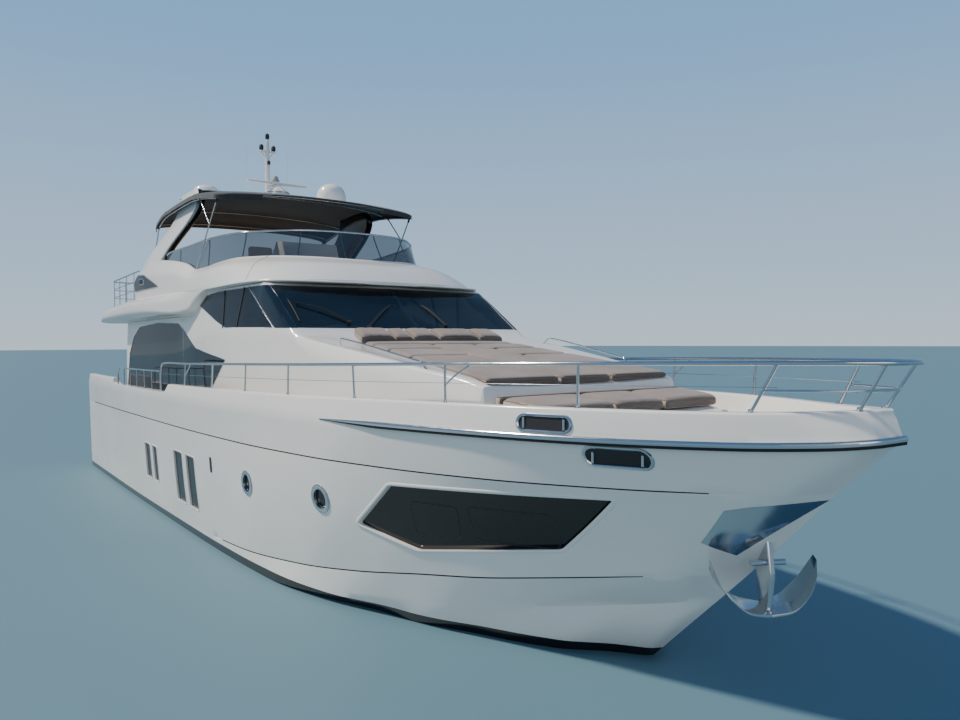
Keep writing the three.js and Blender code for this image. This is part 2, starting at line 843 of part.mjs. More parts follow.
// A piece cut back by the gap from the top and sides of the flybridge moulding
function clearOfFly(manifold) {
  const moves = [[0, 0, GAP], [0, GAP, 0], [0, -GAP, 0], [GAP, 0, 0], [-GAP, 0, 0]];
  return moves.reduce((piece, move) => piece.subtract(flySolid.translate(move)), manifold);
}

// Smoked screen on the coaming, one bent sheet, and the chrome rail along its top
const SCREEN = { thickness: 12, inFromRim: 50, lean: 0.35, railRadius: 19, postInset: 34 };
const screenRows = () => coamingRows().filter((row) => row.screen > 100);

function screenPoint(rows, i, share, inset) {
  const { rimX, rimY, rimZ, screen } = rows[i];
  const n = inwards(rows, i);
  const ahead = Math.max(0, -n.x);
  const back = SCREEN.inFromRim + inset + screen * share * SCREEN.lean * ahead * 1.6;
  return [rimX + n.x * back, rimY + n.y * back, rimZ + GAP + screen * share];
}

function flyScreen() {
  const rows = screenRows();
  const sheet = loft(
    rows.map((_, i) => [
      screenPoint(rows, i, 0, 0),
      screenPoint(rows, i, 1, 0),
      screenPoint(rows, i, 1, SCREEN.thickness),
      screenPoint(rows, i, 0, SCREEN.thickness),
    ]),
  );
  return sheet.subtract(flySolid.translate([0, 0, GAP]));
}

function screenRail() {
  const rows = screenRows();
  const clear = SCREEN.railRadius + GAP;
  const top = rows.map((_, i) => {
    const [x, y, z] = screenPoint(rows, i, 1, SCREEN.thickness / 2);
    return [x, y, z + clear];
  });
  const rail = tube(top, SCREEN.railRadius);
  const posts = [];
  for (let i = 1; i < rows.length; i += 3) {
    const inset = SCREEN.thickness + SCREEN.postInset;
    const head = screenPoint(rows, i, 1, inset);
    const foot = screenPoint(rows, i, 0, inset);
    const cap = screenPoint(rows, i, 1, SCREEN.thickness / 2);
    posts.push(tube([foot, [head[0], head[1], head[2] + clear], [cap[0], cap[1], cap[2] + clear]], 16, 5));
  }
  return union([rail, ...posts]).subtract(flySolid.translate([0, 0, GAP]));
}

add("fly_screen", flyScreen(), "smoked");
add("fly_screen_rail", screenRail(), "steel");

// Radar arch: two raked legs and the platform that carries the mast and domes
const ARCH = {
  root: { x0: -5760, x1: -3760, y: 2620, z: 5200 },
  foot: { x0: -5700, x1: -3750, y: 2620, z: 5900 },
  head: { x0: -3300, x1: -1550, y: 2300, z: 7300 },
  top: { x0: -3180, x1: -1900, y: 2230, z: 7690 },
  thickness: 190,
  platform: { x0: -3700, x1: -1860, halfWidth: 2180, z0: 7664, z1: 7700 },
};

function archLeg(sign) {
  const { root, foot, head, top, thickness } = ARCH;
  const ring = ({ x0, x1, y, z }) => {
    const bevel = 60;
    return [
      [x0, (y - bevel) * sign, z],
      [x0 + bevel * 2, y * sign, z],
      [x1 - bevel * 2, y * sign, z],
      [x1, (y - bevel) * sign, z],
      [x1 - bevel, (y - thickness) * sign, z],
      [x0 + bevel, (y - thickness) * sign, z],
    ];
  };
  return loft([ring(root), ring(foot), ring(head), ring(top)]);
}

// The legs pass through the canvas and carry a thin platform above it
function arch() {
  const { x0, x1, halfWidth, z0, z1 } = ARCH.platform;
  const corner = 220;
  const outline = [
    [x0 + corner, -halfWidth],
    [x1 - corner, -halfWidth],
    [x1, -halfWidth + corner],
    [x1, halfWidth - corner],
    [x1 - corner, halfWidth],
    [x0 + corner, halfWidth],
    [x0, halfWidth - corner],
    [x0, -halfWidth + corner],
  ];
  return clearOfFly(union([archLeg(1), archLeg(-1), slab("z", outline, z0, z1)]));
}

const archSolid = add("radar_arch", arch(), "gelcoat");

// Canvas top over the flybridge, each row: x, half-breadth, height at the edge, height on the centreline
const CANOPY = [
  [-4950, 2380, 7080, 7260],
  [-4700, 2440, 7170, 7370],
  [-3750, 2470, 7340, 7570],
  [-1700, 2470, 7400, 7650],
  [-500, 2470, 7300, 7520],
  [100, 2450, 7210, 7400],
  [260, 2300, 7190, 7360],
  [360, 1500, 7240, 7340],
];
const CANOPY_THICKNESS = 24;

const CANOPY_SHARES = [0, 0.35, 0.65, 0.87, 0.97]; // of its half-breadth, where a section has corners
const canopyColumn = [1, 2, 3].map((column) => follow(CANOPY, column));

// Height of the canvas at x and a share of its half-breadth
function canopyZ(x, share) {
  const [, edge, crown] = canopyColumn.map((f) => f(x));
  return edge + (crown - edge) * Math.sqrt(1 - share ** 2);
}

function canopyLoop(x) {
  const [y, edge] = canopyColumn.map((f) => f(x));
  const under = CANOPY_SHARES.map((s) => [x, y * s, canopyZ(x, s) - CANOPY_THICKNESS]);
  const over = CANOPY_SHARES.map((s) => [x, y * s, canopyZ(x, s)]).reverse();
  return bothSides([...under, [x, y - 5, edge - 45], [x, y, edge - 30], ...over]);
}

// The canvas has a slot for each leg of the arch
const CANOPY_SLOT = { x0: -3400, x1: -1580, y0: 2000, y1: 2340 };

function canopy() {
  const { x0, x1, y0, y1 } = CANOPY_SLOT;
  let sheet = loft(stations(CANOPY, 500).map(canopyLoop));
  sheet = sheet.subtract(box(x0, x1, y0, y1, 6500, 8500));
  return sheet.subtract(box(x0, x1, -y1, -y0, 6500, 8500));
}

add("canopy", canopy(), "canvas");

// Tubes that carry the canvas: transverse bows, side stringers and struts down to the coaming
const BOW_X = [-4700, -3750, -1300, 100];
const BOW_RADIUS = 18;

// Struts from the side stringers, each row: x of the head, foot
const CANOPY_STRUTS = [
  [100, [-1180, 2465, 5690]],
  [-1000, [-342, 2409, 6640]],
  [-4700, [-4880, 2450, 6330]],
];

function canopyFrame() {
  const below = CANOPY_THICKNESS + BOW_RADIUS + 14;
  const onEdge = (x, sign, inset = 70) => {
    const [y, edge] = canopyColumn.map((f) => f(x));
    return [x, (y - inset) * sign, edge - below - 20];
  };
  const parts = [];
  for (const x of BOW_X) {
    const half = CANOPY_SHARES.slice(0, 4).map((s) => [x, canopyColumn[0](x) * s, canopyZ(x, s) - below]);
    half.push(onEdge(x, 1));
    const other = half.slice(1).map(([px, y, z]) => [px, -y, z]).reverse();
    parts.push(tube([...other, ...half], BOW_RADIUS));
  }
  for (const [, sign] of SIDES) {
    const side = stations(CANOPY, 1000).filter((x) => x >= BOW_X[0] && x <= BOW_X.at(-1));
    parts.push(tube(side.map((x) => onEdge(x, sign)), BOW_RADIUS));
    for (const [headX, [x, y, z]] of CANOPY_STRUTS) {
      parts.push(rod(onEdge(headX, sign), [x, y * sign, z], 15, 6));
    }
  }
  const moves = [[GAP, 0, 0], [0, GAP, 0], [-GAP, 0, 0], [0, -GAP, 0]];
  return moves.reduce((frame, move) => frame.subtract(archSolid.translate(move)), clearOfFly(union(parts)));
}

add("canopy_frame", canopyFrame(), "steel");

// Mast, scanner and domes on the arch platform
const PLATFORM_Z = ARCH.platform.z1 + GAP;
const MAST = { x: -3160, baseZ: PLATFORM_Z, topZ: 9600, crosstreeZ: 9120, crosstree: 420 };

function mast() {
  const { x, baseZ, topZ, crosstreeZ, crosstree } = MAST;
  const pole = turned(
    [
      [0, 0],
      [130, 0],
      [110, 60],
      [62, 120],
      [45, topZ - baseZ - 160],
      [30, topZ - baseZ - 150],
      [45, topZ - baseZ - 60],
      [0, topZ - baseZ],
    ],
    12,
  ).translate([x, 0, baseZ]);
  const arm = box(x - 40, x + 40, -crosstree / 2, crosstree / 2, crosstreeZ - 20, crosstreeZ + 20);
  const lamp = turned([[0, 0], [50, 0], [58, 60], [40, 150], [0, 160]], 12);
  const lamps = [1, -1].map((sign) =>
    lamp.translate([x, (crosstree / 2 - 40) * sign, crosstreeZ + 10]),
  );
  return union([pole, arm, ...lamps]);
}

add("mast", mast(), "gelcoat");

const SCANNER = { x: -2260, y: -100, z: 8110, length: 1600, depth: 110, height: 80 };
const SCANNER_FOOT = SCANNER.z - SCANNER.height / 2 - PLATFORM_Z - RUNNING_GAP; // height of its pedestal
add(
  "scanner_pedestal",
  turned(
    [
      [0, 0],
      [330, 0],
      [340, 110],
      [250, 240],
      [120, 310],
      [90, SCANNER_FOOT],
      [0, SCANNER_FOOT],
    ],
    20,
  ).translate([SCANNER.x, SCANNER.y, PLATFORM_Z]),
  "gelcoat",
);

function scanner() {
  const { x, y, z, length, depth, height } = SCANNER;
  const bar = slab(
    "y",
    [
      [x - depth / 2, z - height / 2],
      [x + depth / 2, z - height / 2],
      [x + depth / 2, z + height / 4],
      [x + depth / 4, z + height / 2],
      [x - depth / 4, z + height / 2],
      [x - depth / 2, z + height / 4],
    ],
    y - length / 2,
    y + length / 2,
  );
  return bar;
}

add("radar_scanner", scanner(), "gelcoat");

const SAT_DOME = { x: -2940, y: 1720, radius: 400, height: 740 };
const FLAT_DOME = { x: -2940, y: -1680, radius: 310, height: 300 };
add(
  "satellite_dome",
  turned(
    [
      [0, 0],
      [250, 0],
      [270, 70],
      [370, 160],
      [400, 340],
      [375, 480],
      [300, 610],
      [180, 700],
      [0, SAT_DOME.height],
    ],
    24,
  ).translate([SAT_DOME.x, SAT_DOME.y, PLATFORM_Z]),
  "gelcoat",
);
add(
  "tv_dome",
  turned(
    [
      [0, 0],
      [280, 0],
      [FLAT_DOME.radius, 80],
      [290, 190],
      [200, 265],
      [0, FLAT_DOME.height],
    ],
    24,
  ).translate([FLAT_DOME.x, FLAT_DOME.y, PLATFORM_Z]),
  "gelcoat",
);

// Rails

// Posts of the bow rail, each row: x at the foot, x at the head
const RAIL_POSTS = [
  [-100, -80],
  [1650, 1660],
  [3360, 3370],
  [4950, 4960],
  [6730, 6740],
  [8500, 8510],
  [10330, 10350],
  [11980, 12250],
  [12780, 13060],
];
// Top of the bow rail, each row: x, half-breadth, height
const RAIL_TOP = [
  [-1900, 3000, 3600],
  [0, 3020, 3630],
  [3000, 2970, 3680],
  [6000, 2720, 3730],
  [8500, 2230, 3780],
  [10350, 1680, 3810],
  [11500, 1170, 3825],
  [12300, 780, 3835],
  [12850, 480, 3840],
  [13130, 220, 3842],
  [13210, 0, 3843],
];

const railColumn = [1, 2].map((column) => follow(RAIL_TOP, column));

function bowRail() {
  const xs = [-1900, -900, ...RAIL_POSTS.map((row) => row[1]), 11400, 11900, 12650, 12900, 13170];
  const half = xs
    .filter((x, i) => xs.indexOf(x) === i)
    .sort((a, b) => a - b)
    .map((x) => [x, railColumn[0](x), railColumn[1](x)]);
  const foot = [[-2160, 3000, 2900], [-2140, 3000, 3420], [-2060, 3000, 3560]];
  const starboard = [...foot, ...half].map(([x, y, z]) => [x, -y, z]).reverse();
  const parts = [tube([...foot, ...half, [13210, 0, 3843], ...starboard], RAIL_RADIUS)];
  for (const [, sign] of SIDES) {
    for (const [footX, headX] of RAIL_POSTS) {
      const base = [footX, (bulwarkY(footX) - 70) * sign, bulwarkZ(footX) - 40];
      const head = [headX, railColumn[0](headX) * sign, railColumn[1](headX)];
      parts.push(rod(base, head, POST_RADIUS, 6));
    }
  }
  return union(parts);
}

add("bow_rail", bowRail().subtract(hullSolid.translate([0, 0, GAP])), "steel");

// Foredeck sunpads: top heights follow the coachroof
const PADS = {
  main: { x0: 4980, x1: 8780, y0: 1540, y1: 1770, z0: 4060, z1: 3570, thickness: 130 },
  lower: { x0: 8900, x1: 9780, y0: 1770, y1: 1640, z0: 3360, z1: 3270, thickness: 140 },
  backrest: { x0: 4520, x1: 4960, y0: 1480, y1: 1540, z0: 4330, z1: 4150, thickness: 130 },
};

function pad({ x0, x1, y0, y1, z0, z1, thickness }) {
  const ring = (x, y, z) => [
    [x, -y, z - thickness],
    [x, y, z - thickness],
    [x, y, z],
    [x, -y, z],
  ];
  return loft([ring(x0, y0, z0), ring(x1, y1, z1)]).subtract(houseFull.translate([0, 0, GAP]));
}

for (const [name, row] of Object.entries(PADS)) add("sunpad_" + name, pad(row), "vinyl");

// Handrails on the coachroof
function coachRail(sign) {
  const path = [
    [5420, 2150, 4020],
    [5500, 2190, 4110],
    [5620, 2200, 4115],
    [7500, 2020, 3800],
    [7620, 2010, 3780],
    [7700, 1990, 3680],
  ].map(([x, y, z]) => [x, y * sign, z]);
  return tube(path, 14);
}
for (const [side, sign] of SIDES)
  add("coachroof_rail_" + side, coachRail(sign).subtract(houseFull.translate([0, 0, GAP])), "steel");

// Underwater gear
const SHAFT = { y: 1150, bearing: [-5600, -900], hub: [-9300, -1420], radius: 45 };
const PROP = { hubRadius: 90, hubLength: 260, blades: 4 };
const RUDDER = { x: -10450, top: -640, bottom: -1900, chordAhead: 190, chordAstern: 430 };

function shaftWithBrackets(sign) {
  const { y, bearing, hub, radius } = SHAFT;
  const slope = (hub[1] - bearing[1]) / (hub[0] - bearing[0]);
  const end = hub[0] + PROP.hubLength / 2 + RUNNING_GAP;
  const at = (x) => [x, y * sign, bearing[1] + (x - bearing[0]) * slope];
  const bracketX = end + 140;
  const boss = rod(at(bracketX + 130), at(bracketX - 130), radius + 35, 12);
  const strut = (dy) => {
    const foot = at(bracketX);
    return loft(
      [
        [foot[0], foot[1], foot[2]],
        [foot[0], foot[1] + dy, -300],
      ].map(([x, yy, z]) => [
        [x - 90, yy, z],
        [x, yy - 16, z],
        [x + 90, yy, z],
        [x, yy + 16, z],
      ]),
    );
  };
  const shaft = rod([bearing[0] + 1500, y * sign, bearing[1] + 1500 * slope], at(end), radius, 12);
  return union([shaft, boss, strut(330), strut(-330)]).subtract(hullGap());
}

// The hull grown downwards by the gap between touching pieces
const hullGap = () => hullForm.translate([0, 0, -GAP]);

// Rings of a blade, each row: radius, half-chord, pitch in radians, half-thickness
const BLADE = [
  [60, 100, 1.05, 26],
  [130, 140, 0.92, 23],
  [200, 170, 0.78, 20],
  [280, 190, 0.65, 17],
  [360, 195, 0.54, 13],
  [440, 150, 0.47, 9],
  [500, 50, 0.44, 6],
];

// A right-handed propeller to starboard, mirrored to port
function propeller(sign) {
  const { y, bearing, hub } = SHAFT;
  const slope = (hub[1] - bearing[1]) / (hub[0] - bearing[0]);
  const tilt = -(Math.atan(slope) * 180) / Math.PI;
  const half = PROP.hubLength / 2;
  const boss = turned(
    [[0, -half - 90], [50, -half - 40], [PROP.hubRadius, -half], [PROP.hubRadius, half], [0, half]],
    16,
  );
  const blade = loft(
    BLADE.map(([r, chord, pitch, thick]) => {
      const c = Math.cos(pitch);
      const s = Math.sin(pitch);
      return [
        [-chord * c, r, -chord * s],
        [-thick * s, r, thick * c],
        [chord * c, r, chord * s],
        [thick * s, r, -thick * c],
      ];
    }),
  );
  const turns = Array.from({ length: PROP.blades }, (_, i) => (360 * i) / PROP.blades);
  const whole = union([boss, ...turns.map((angle) => blade.rotate([0, 0, angle]))])
    .rotate([0, 90, 0])
    .rotate([0, tilt, 0]);
  return mirrored(whole, -sign).translate([hub[0], y * sign, hub[1]]);
}

function rudder(sign) {
  const { x, top, bottom, chordAhead, chordAstern } = RUDDER;
  const ring = (ahead, astern, half, z) => [
    [x + ahead, SHAFT.y * sign, z],
    [x + ahead * 0.3, SHAFT.y * sign + half, z],
    [x - astern, SHAFT.y * sign + 6, z],
    [x - astern, SHAFT.y * sign - 6, z],
    [x + ahead * 0.3, SHAFT.y * sign - half, z],
  ];
  const blade = loft([
    ring(chordAhead, chordAstern, 45, top - 30),
    ring(chordAhead * 0.8, chordAstern * 0.85, 38, bottom),
  ]);
  const stock = rod([x, SHAFT.y * sign, top - 60], [x, SHAFT.y * sign, top + 400], 45, 12);
  return union([blade, stock]).subtract(hullGap().translate([0, 0, -2 * RUNNING_GAP]));
}

for (const [side, sign] of SIDES) {
  add("shaft_" + side, shaftWithBrackets(sign), "steel");
  add("propeller_" + side, propeller(sign), "bronze");
  add("rudder_" + side, rudder(sign), "bronze");
}

// Bathing platform astern
const PLATFORM = { x0: -13100, x1: -11640, halfWidth: 2700, z0: 300, z1: 480, corner: 350 };

function swimPlatform() {
  const { x0, x1, halfWidth, z0, z1, corner } = PLATFORM;
  const outline = [
    [x1, -halfWidth - 60],
    [x1, halfWidth + 60],
    [x0 + corner, halfWidth],
    [x0 + corner * 0.3, halfWidth - corner * 0.3],
    [x0, halfWidth - corner],
    [x0, -halfWidth + corner],
    [x0 + corner * 0.3, -halfWidth + corner * 0.3],
    [x0 + corner, -halfWidth],
  ];
  return slab("z", outline, z0, z1).subtract(hullForm.translate([-GAP, 0, 0]));
}

add("bathing_platform", swimPlatform(), "gelcoat");

// Anchor hanging at the stem, in its own frame: x' ahead, y' across its flukes, origin at its crown
const ANCHOR = { x: 11680, y: -100, z: 1060, turn: -30 };

// Rings of a fluke, each row: y', height, x' of its edges, thickness
const FLUKE = [
  [0, 0, -130, 130, 46],
  [230, 40, -230, 150, 40],
  [430, 180, -260, 120, 34],
  [570, 400, -210, 40, 26],
  [610, 560, -120, -40, 18],
];

function fluke(sign) {
  return loft(
    FLUKE.map(([y, z, x0, x1, thick]) => [
      [x0, y * sign, z + thick],
      [x1, y * sign, z - 20],
      [x1, y * sign, z - 20 + thick],
      [x0, y * sign, z + thick * 2],
    ]),
  );
}

function anchor() {
  const shank = slab("y", [[-120, 40], [60, 0], [150, 420], [20, 1000], [-190, 900], [-220, 620]], -32, 32);
  const bolt = rod([20, -200, 560], [20, 200, 560], 34, 10);
  const whole = union([shank, bolt, fluke(1), fluke(-1)]).rotate([0, 0, ANCHOR.turn]);
  const hung = whole.translate([ANCHOR.x, ANCHOR.y, ANCHOR.z]);
  return hung.subtract(hullForm.translate([20, 0, 0])).subtract(hullForm.translate([0, 0, -15]));
}
add("anchor", anchor(), "steel");

add("rubbing_strake", strake(), "steel");

// Lid of the chain locker
const LID = { overlap: 35, lift: 8, thickness: 40 };

function lockerLid() {
  const x0 = LOCKER.x0 - LID.overlap;
  const x1 = LOCKER.x1 + LID.overlap;
  const y = LOCKER.halfWidth + LID.overlap;
  const low = (x) => deckZ(x) + LID.lift;
  const outline = [
    [x0, low(x0)],
    [x1, low(x1)],
    [x1, low(x1) + LID.thickness],
    [x0, low(x0) + LID.thickness],
  ];
  return slab("y", outline, -y, y);
}

add("chain_locker_lid", lockerLid(), "gelcoat");

// Furniture on deck, each row: x from and to, y from and to, z from and to
function blocks(rows) {
  return union(rows.map((row) => box(...row)));
}

add(
  "cockpit_sofa",
  blocks([
    [-10950, -10250, -1300, 1300, 2250 + GAP, 2700],
    [-11090, -10930, -1300, 1300, 2250 + GAP, 3060],
  ]),
  "vinyl",
);
add(
  "cockpit_table",
  blocks([
    [-9950, -9150, -900, 900, 2940, 2985],
    [-9620, -9480, -500, -360, 2280, 2945],
    [-9620, -9480, 360, 500, 2280, 2945],
    [-9720, -9380, -600, 600, 2250 + GAP, 2285],
  ]),
  "teak",
);
const onFlyDeck = (manifold) => manifold.subtract(flySolid.translate([0, 0, GAP]));
const BELOW_FLOOR = 5230; // furniture reaches down to here before it is cut to the floor
const BELOW_FLOOR_AFT = 5120; // and the sofa to here, where the floor falls away aft

add(
  "fly_sofa",
  onFlyDeck(
    blocks([
      [-8300, -7700, -600, 2250, BELOW_FLOOR_AFT, 5640],
      [-8400, -8280, -600, 2250, BELOW_FLOOR_AFT, 5900],
      [-7710, -6000, 1650, 2250, BELOW_FLOOR_AFT, 5640],
      [-8400, -6000, 2230, 2350, BELOW_FLOOR_AFT, 5900],
    ]),
  ),
  "vinyl",
);
add(
  "fly_table",
  onFlyDeck(
    blocks([
      [-7500, -6200, 450, 1450, 5920, 5960],
      [-6950, -6750, 850, 1050, 5280, 5925],
      [-7050, -6650, 700, 1200, BELOW_FLOOR_AFT, 5285],
    ]),
  ),
  "teak",
);

// Flybridge helm: a console with a sloping face and its wheel
const FLY_HELM = { y: -750, halfWidth: 620, wheel: { x: 440, z: 5960, radius: 190, tilt: -60 } };

// Stub of the steering column that a wheel turns on, from the wheel's hub into the console
function column({ x, z, tilt }, y) {
  const angle = (tilt * Math.PI) / 180;
  const along = (d) => [x - Math.sin(angle) * d, y, z - Math.cos(angle) * d];
  return rod(along(22 + RUNNING_GAP), along(330), 30, 10);
}

const flyConsole = slab(
  "y",
  [
    [560, BELOW_FLOOR],
    [1280, BELOW_FLOOR],
    [1360, 5700],
    [1150, 6190],
    [850, 6230],
    [600, 5960],
  ],
  FLY_HELM.y - FLY_HELM.halfWidth,
  FLY_HELM.y + FLY_HELM.halfWidth,
);
add("fly_console", onFlyDeck(union([flyConsole, column(FLY_HELM.wheel, FLY_HELM.y)])), "gelcoat");

// A steering wheel about z: rim, three spokes and hub
function wheel(radius) {
  const rim = solid(new THREE.TorusGeometry(radius, 16, 6, 16));
  const hub = turned([[0, -22], [34, -22], [40, 10], [0, 22]], 10);
  const spokes = [90, 210, 330].map((angle) => {
    const a = (angle * Math.PI) / 180;
    return rod([0, 0, 0], [radius * Math.cos(a), radius * Math.sin(a), 0], 9, 6);
  });
  return union([rim, hub, ...spokes]);
}

function placedWheel({ x, z, radius, tilt }, y) {
  return wheel(radius).rotate([0, tilt, 0]).translate([x, y, z]);
}

add("fly_wheel", placedWheel(FLY_HELM.wheel, FLY_HELM.y), "dark");

add(
  "fly_helm_seat",
  onFlyDeck(
    blocks([
      [-900, -350, -1350, -150, BELOW_FLOOR, 5800],
      [-1010, -880, -1350, -150, BELOW_FLOOR, 6300],
    ]),
  ),
  "vinyl",
);

// Lower helm and saloon
const HELM = { y: -900, wheel: { x: 2530, z: 3970, radius: 200, tilt: -55 } };

function dash() {
  const whole = slab(
    "y",
    [
      [2820, 2600],
      [4600, 2600],
      [4600, 4170],
      [3500, 4200],
      [2900, 4110],
      [2680, 3850],
    ],
    -2380,
    2380,
  );
  const fitted = whole.intersect(house(SHELL + 12, HOUSE_ROOT)).subtract(hullSolid.translate([0, 0, GAP]));
  return union([fitted, column(HELM.wheel, HELM.y)]);
}

add("dashboard", dash(), "dark");
add("helm_wheel", placedWheel(HELM.wheel, HELM.y), "dark");
const floorAt = (x) => deckZ(x) + GAP;
add(
  "helm_seats",
  blocks([
    [1350, 1900, -1500, -300, floorAt(1900), 3430],
    [1250, 1370, -1500, -300, floorAt(1900), 3990],
  ]),
  "leather",
);
add(
  "saloon_sofa",
  blocks([
    [-6300, -3000, 1450, 2150, floorAt(-5000), 2930],
    [-6300, -3000, 2130, 2300, floorAt(-5000), 3250],
  ]),
  "leather",
);

const FLY_RAIL_FOOT = 4740; // the posts reach down to here before they are cut to the deck
const FLY_RAIL_MIDDLE = 300; // from the top rail down to the thinner middle rail

// Rail round the after end of the flybridge, each row: x, half-breadth, height
const FLY_RAIL = [
  [-5600, 2640, 6030],
  [-6300, 2655, 6015],
  [-7200, 2660, 5990],
  [-8100, 2660, 5970],
  [-8900, 2650, 5955],
  [-9200, 2560, 5950],
  [-9290, 2250, 5950],
  [-9300, 1300, 5950],
  [-9300, 450, 5950],
];
const FLY_RAIL_POSTS = [1, 2, 3, 4, 6, 7, 8]; // rows of the rail that stand on a post

function flyRail() {
  const other = FLY_RAIL.map(([x, y, z]) => [x, -y, z]).reverse();
  const path = [...FLY_RAIL, ...other];
  const middle = path.slice(1, -1).map(([x, y, z]) => [x, y, z - FLY_RAIL_MIDDLE]);
  const parts = [tube(path, 19), tube(middle, 11)];
  for (const i of FLY_RAIL_POSTS) {
    const [x, y, z] = FLY_RAIL[i];
    for (const [, sign] of SIDES) parts.push(rod([x, y * sign, FLY_RAIL_FOOT], [x, y * sign, z], 14, 6));
  }
  return union(parts).subtract(flySolid.translate([0, 0, GAP]));
}

add("fly_rail", flyRail(), "steel");

// Rails along the low part of the bulwarks
const SIDE_RAIL = { x0: -6850, x1: -2250, y: 2990, z: 3380, posts: 6 };

function sideRail(sign) {
  const { x0, x1, y, z, posts } = SIDE_RAIL;
  const path = [[x0, 2900], [x0 + 40, z - 60], [x0 + 120, z], [x1, z + 30]];
  const parts = [tube(path.map(([x, height]) => [x, y * sign, height]), 19)];
  for (let i = 1; i <= posts; i++) {
    const x = x0 + ((x1 - x0 - 20) * i) / posts;
    parts.push(rod([x, y * sign, 2900], [x, y * sign, z + 20], 14, 6));
  }
  return union(parts).subtract(hullSolid.translate([0, 0, GAP]));
}

for (const [side, sign] of SIDES) add("side_rail_" + side, sideRail(sign), "steel");

export default yacht;
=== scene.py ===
# Looks of a 26 m flybridge motor yacht afloat. Metres, +X to the bow, +Y to port, z = 0 at the waterline.
import json
import math

import bmesh
import bpy
from mathutils import Matrix, Vector
from mathutils.bvhtree import BVHTree

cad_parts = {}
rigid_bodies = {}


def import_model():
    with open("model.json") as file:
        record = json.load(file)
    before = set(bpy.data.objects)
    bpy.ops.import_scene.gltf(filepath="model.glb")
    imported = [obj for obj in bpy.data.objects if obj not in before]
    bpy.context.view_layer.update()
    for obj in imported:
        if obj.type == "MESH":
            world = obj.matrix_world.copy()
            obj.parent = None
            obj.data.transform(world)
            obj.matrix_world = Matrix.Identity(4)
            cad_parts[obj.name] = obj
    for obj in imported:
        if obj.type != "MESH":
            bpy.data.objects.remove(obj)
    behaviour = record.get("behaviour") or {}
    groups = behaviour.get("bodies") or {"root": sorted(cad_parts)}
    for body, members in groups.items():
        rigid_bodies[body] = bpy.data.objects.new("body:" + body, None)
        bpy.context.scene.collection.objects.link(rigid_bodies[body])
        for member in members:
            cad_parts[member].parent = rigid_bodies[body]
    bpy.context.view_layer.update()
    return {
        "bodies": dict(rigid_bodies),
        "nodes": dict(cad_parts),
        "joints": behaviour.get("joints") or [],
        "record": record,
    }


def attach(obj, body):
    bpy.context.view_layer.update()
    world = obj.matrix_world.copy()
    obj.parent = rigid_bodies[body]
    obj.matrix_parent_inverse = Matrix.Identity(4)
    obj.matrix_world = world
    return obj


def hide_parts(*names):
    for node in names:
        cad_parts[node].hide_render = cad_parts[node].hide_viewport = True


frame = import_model()
NODES = frame["nodes"]
BODY_OF = {node: body for body, nodes in frame["record"]["behaviour"]["bodies"].items() for node in nodes}
SLOT_OF = {row["node"]: row["material_slot"] for row in frame["record"]["subparts"]}

# Camera, as solved from the photograph: its place, heading, tilt and roll in degrees, and its lens
CAMERA_AT = (16.55, -7.63, 4.05)
CAMERA_TURN = (143.47, -1.31, -0.23)
LENS_MM = 28.72
SENSOR_MM = 36

# Levels and shared sizes
WATERLINE = 0.0
BOOT_TOP = 0.15
BULWARK_WALL = 0.17
GLASS_THICKNESS = 0.022
PANE_GAP = 0.006
# Sides of the yacht: name, sign of y
SIDES = (("port", 1), ("starboard", -1))
# A thinner merge than usual, for the close points that a boolean leaves
AFTER_CUT = 0.00005


# Scene

def add_camera():
    data = bpy.data.cameras.new("camera")
    data.lens = LENS_MM
    data.sensor_width = SENSOR_MM
    data.clip_end = 2000
    camera = bpy.data.objects.new("camera", data)
    bpy.context.scene.collection.objects.link(camera)
    yaw, pitch, roll = (math.radians(a) for a in CAMERA_TURN)
    ahead = Vector((math.cos(yaw) * math.cos(pitch), math.sin(yaw) * math.cos(pitch), math.sin(pitch)))
    turn = ahead.to_track_quat("-Z", "Y").to_matrix().to_4x4()
    camera.matrix_world = Matrix.Translation(CAMERA_AT) @ turn @ Matrix.Rotation(roll, 4, "Z")
    bpy.context.scene.camera = camera


# Strength of the sky as light on the yacht, and as the camera sees it
SKY_ON_YACHT = 0.7
SKY_SEEN = 1.15
SKY_COLOURS = ((0.0, "#c3d3de"), (0.06, "#b3cbe0"), (0.35, "#7fadda"), (1.0, "#5a8fc8"))
# Lights, each row: name, power, spread in degrees, direction that it shines in
LIGHTS = (
    ("sun", 4.6, 3, (0.46, 0.52, -0.80)),
    ("fill", 0.5, 40, (-0.75, 0.45, -0.35)),
)
SUNLIGHT = "#fff3e2"
FLOOR_SIZE = 1200


def add_light():
    world = bpy.data.worlds.new("soft_sky")
    bpy.context.scene.world = world
    world.use_nodes = True
    tree = world.node_tree
    place = add_node(tree, "ShaderNodeTexCoord")
    split = add_node(tree, "ShaderNodeSeparateXYZ", {}, {"Vector": place.outputs["Generated"]})
    ramp = add_node(tree, "ShaderNodeValToRGB", {"stops": SKY_COLOURS}, {"Fac": split.outputs["Z"]})
    seen = add_node(tree, "ShaderNodeLightPath")
    strengths = {"To Min": SKY_ON_YACHT, "To Max": SKY_SEEN}
    strength = add_node(tree, "ShaderNodeMapRange", strengths, {"Value": seen.outputs["Is Camera Ray"]})
    set_up(
        tree.nodes["Background"], {}, {"Color": ramp.outputs["Color"], "Strength": strength.outputs["Result"]}
    )
    for name, power, spread, towards in LIGHTS:
        data = bpy.data.lights.new(name, "SUN")
        data.energy = power
        data.angle = math.radians(spread)
        data.color = linear(SUNLIGHT)[:3]
        light = bpy.data.objects.new(name, data)
        light.rotation_euler = Vector(towards).to_track_quat("-Z", "Y").to_euler()
        bpy.context.scene.collection.objects.link(light)


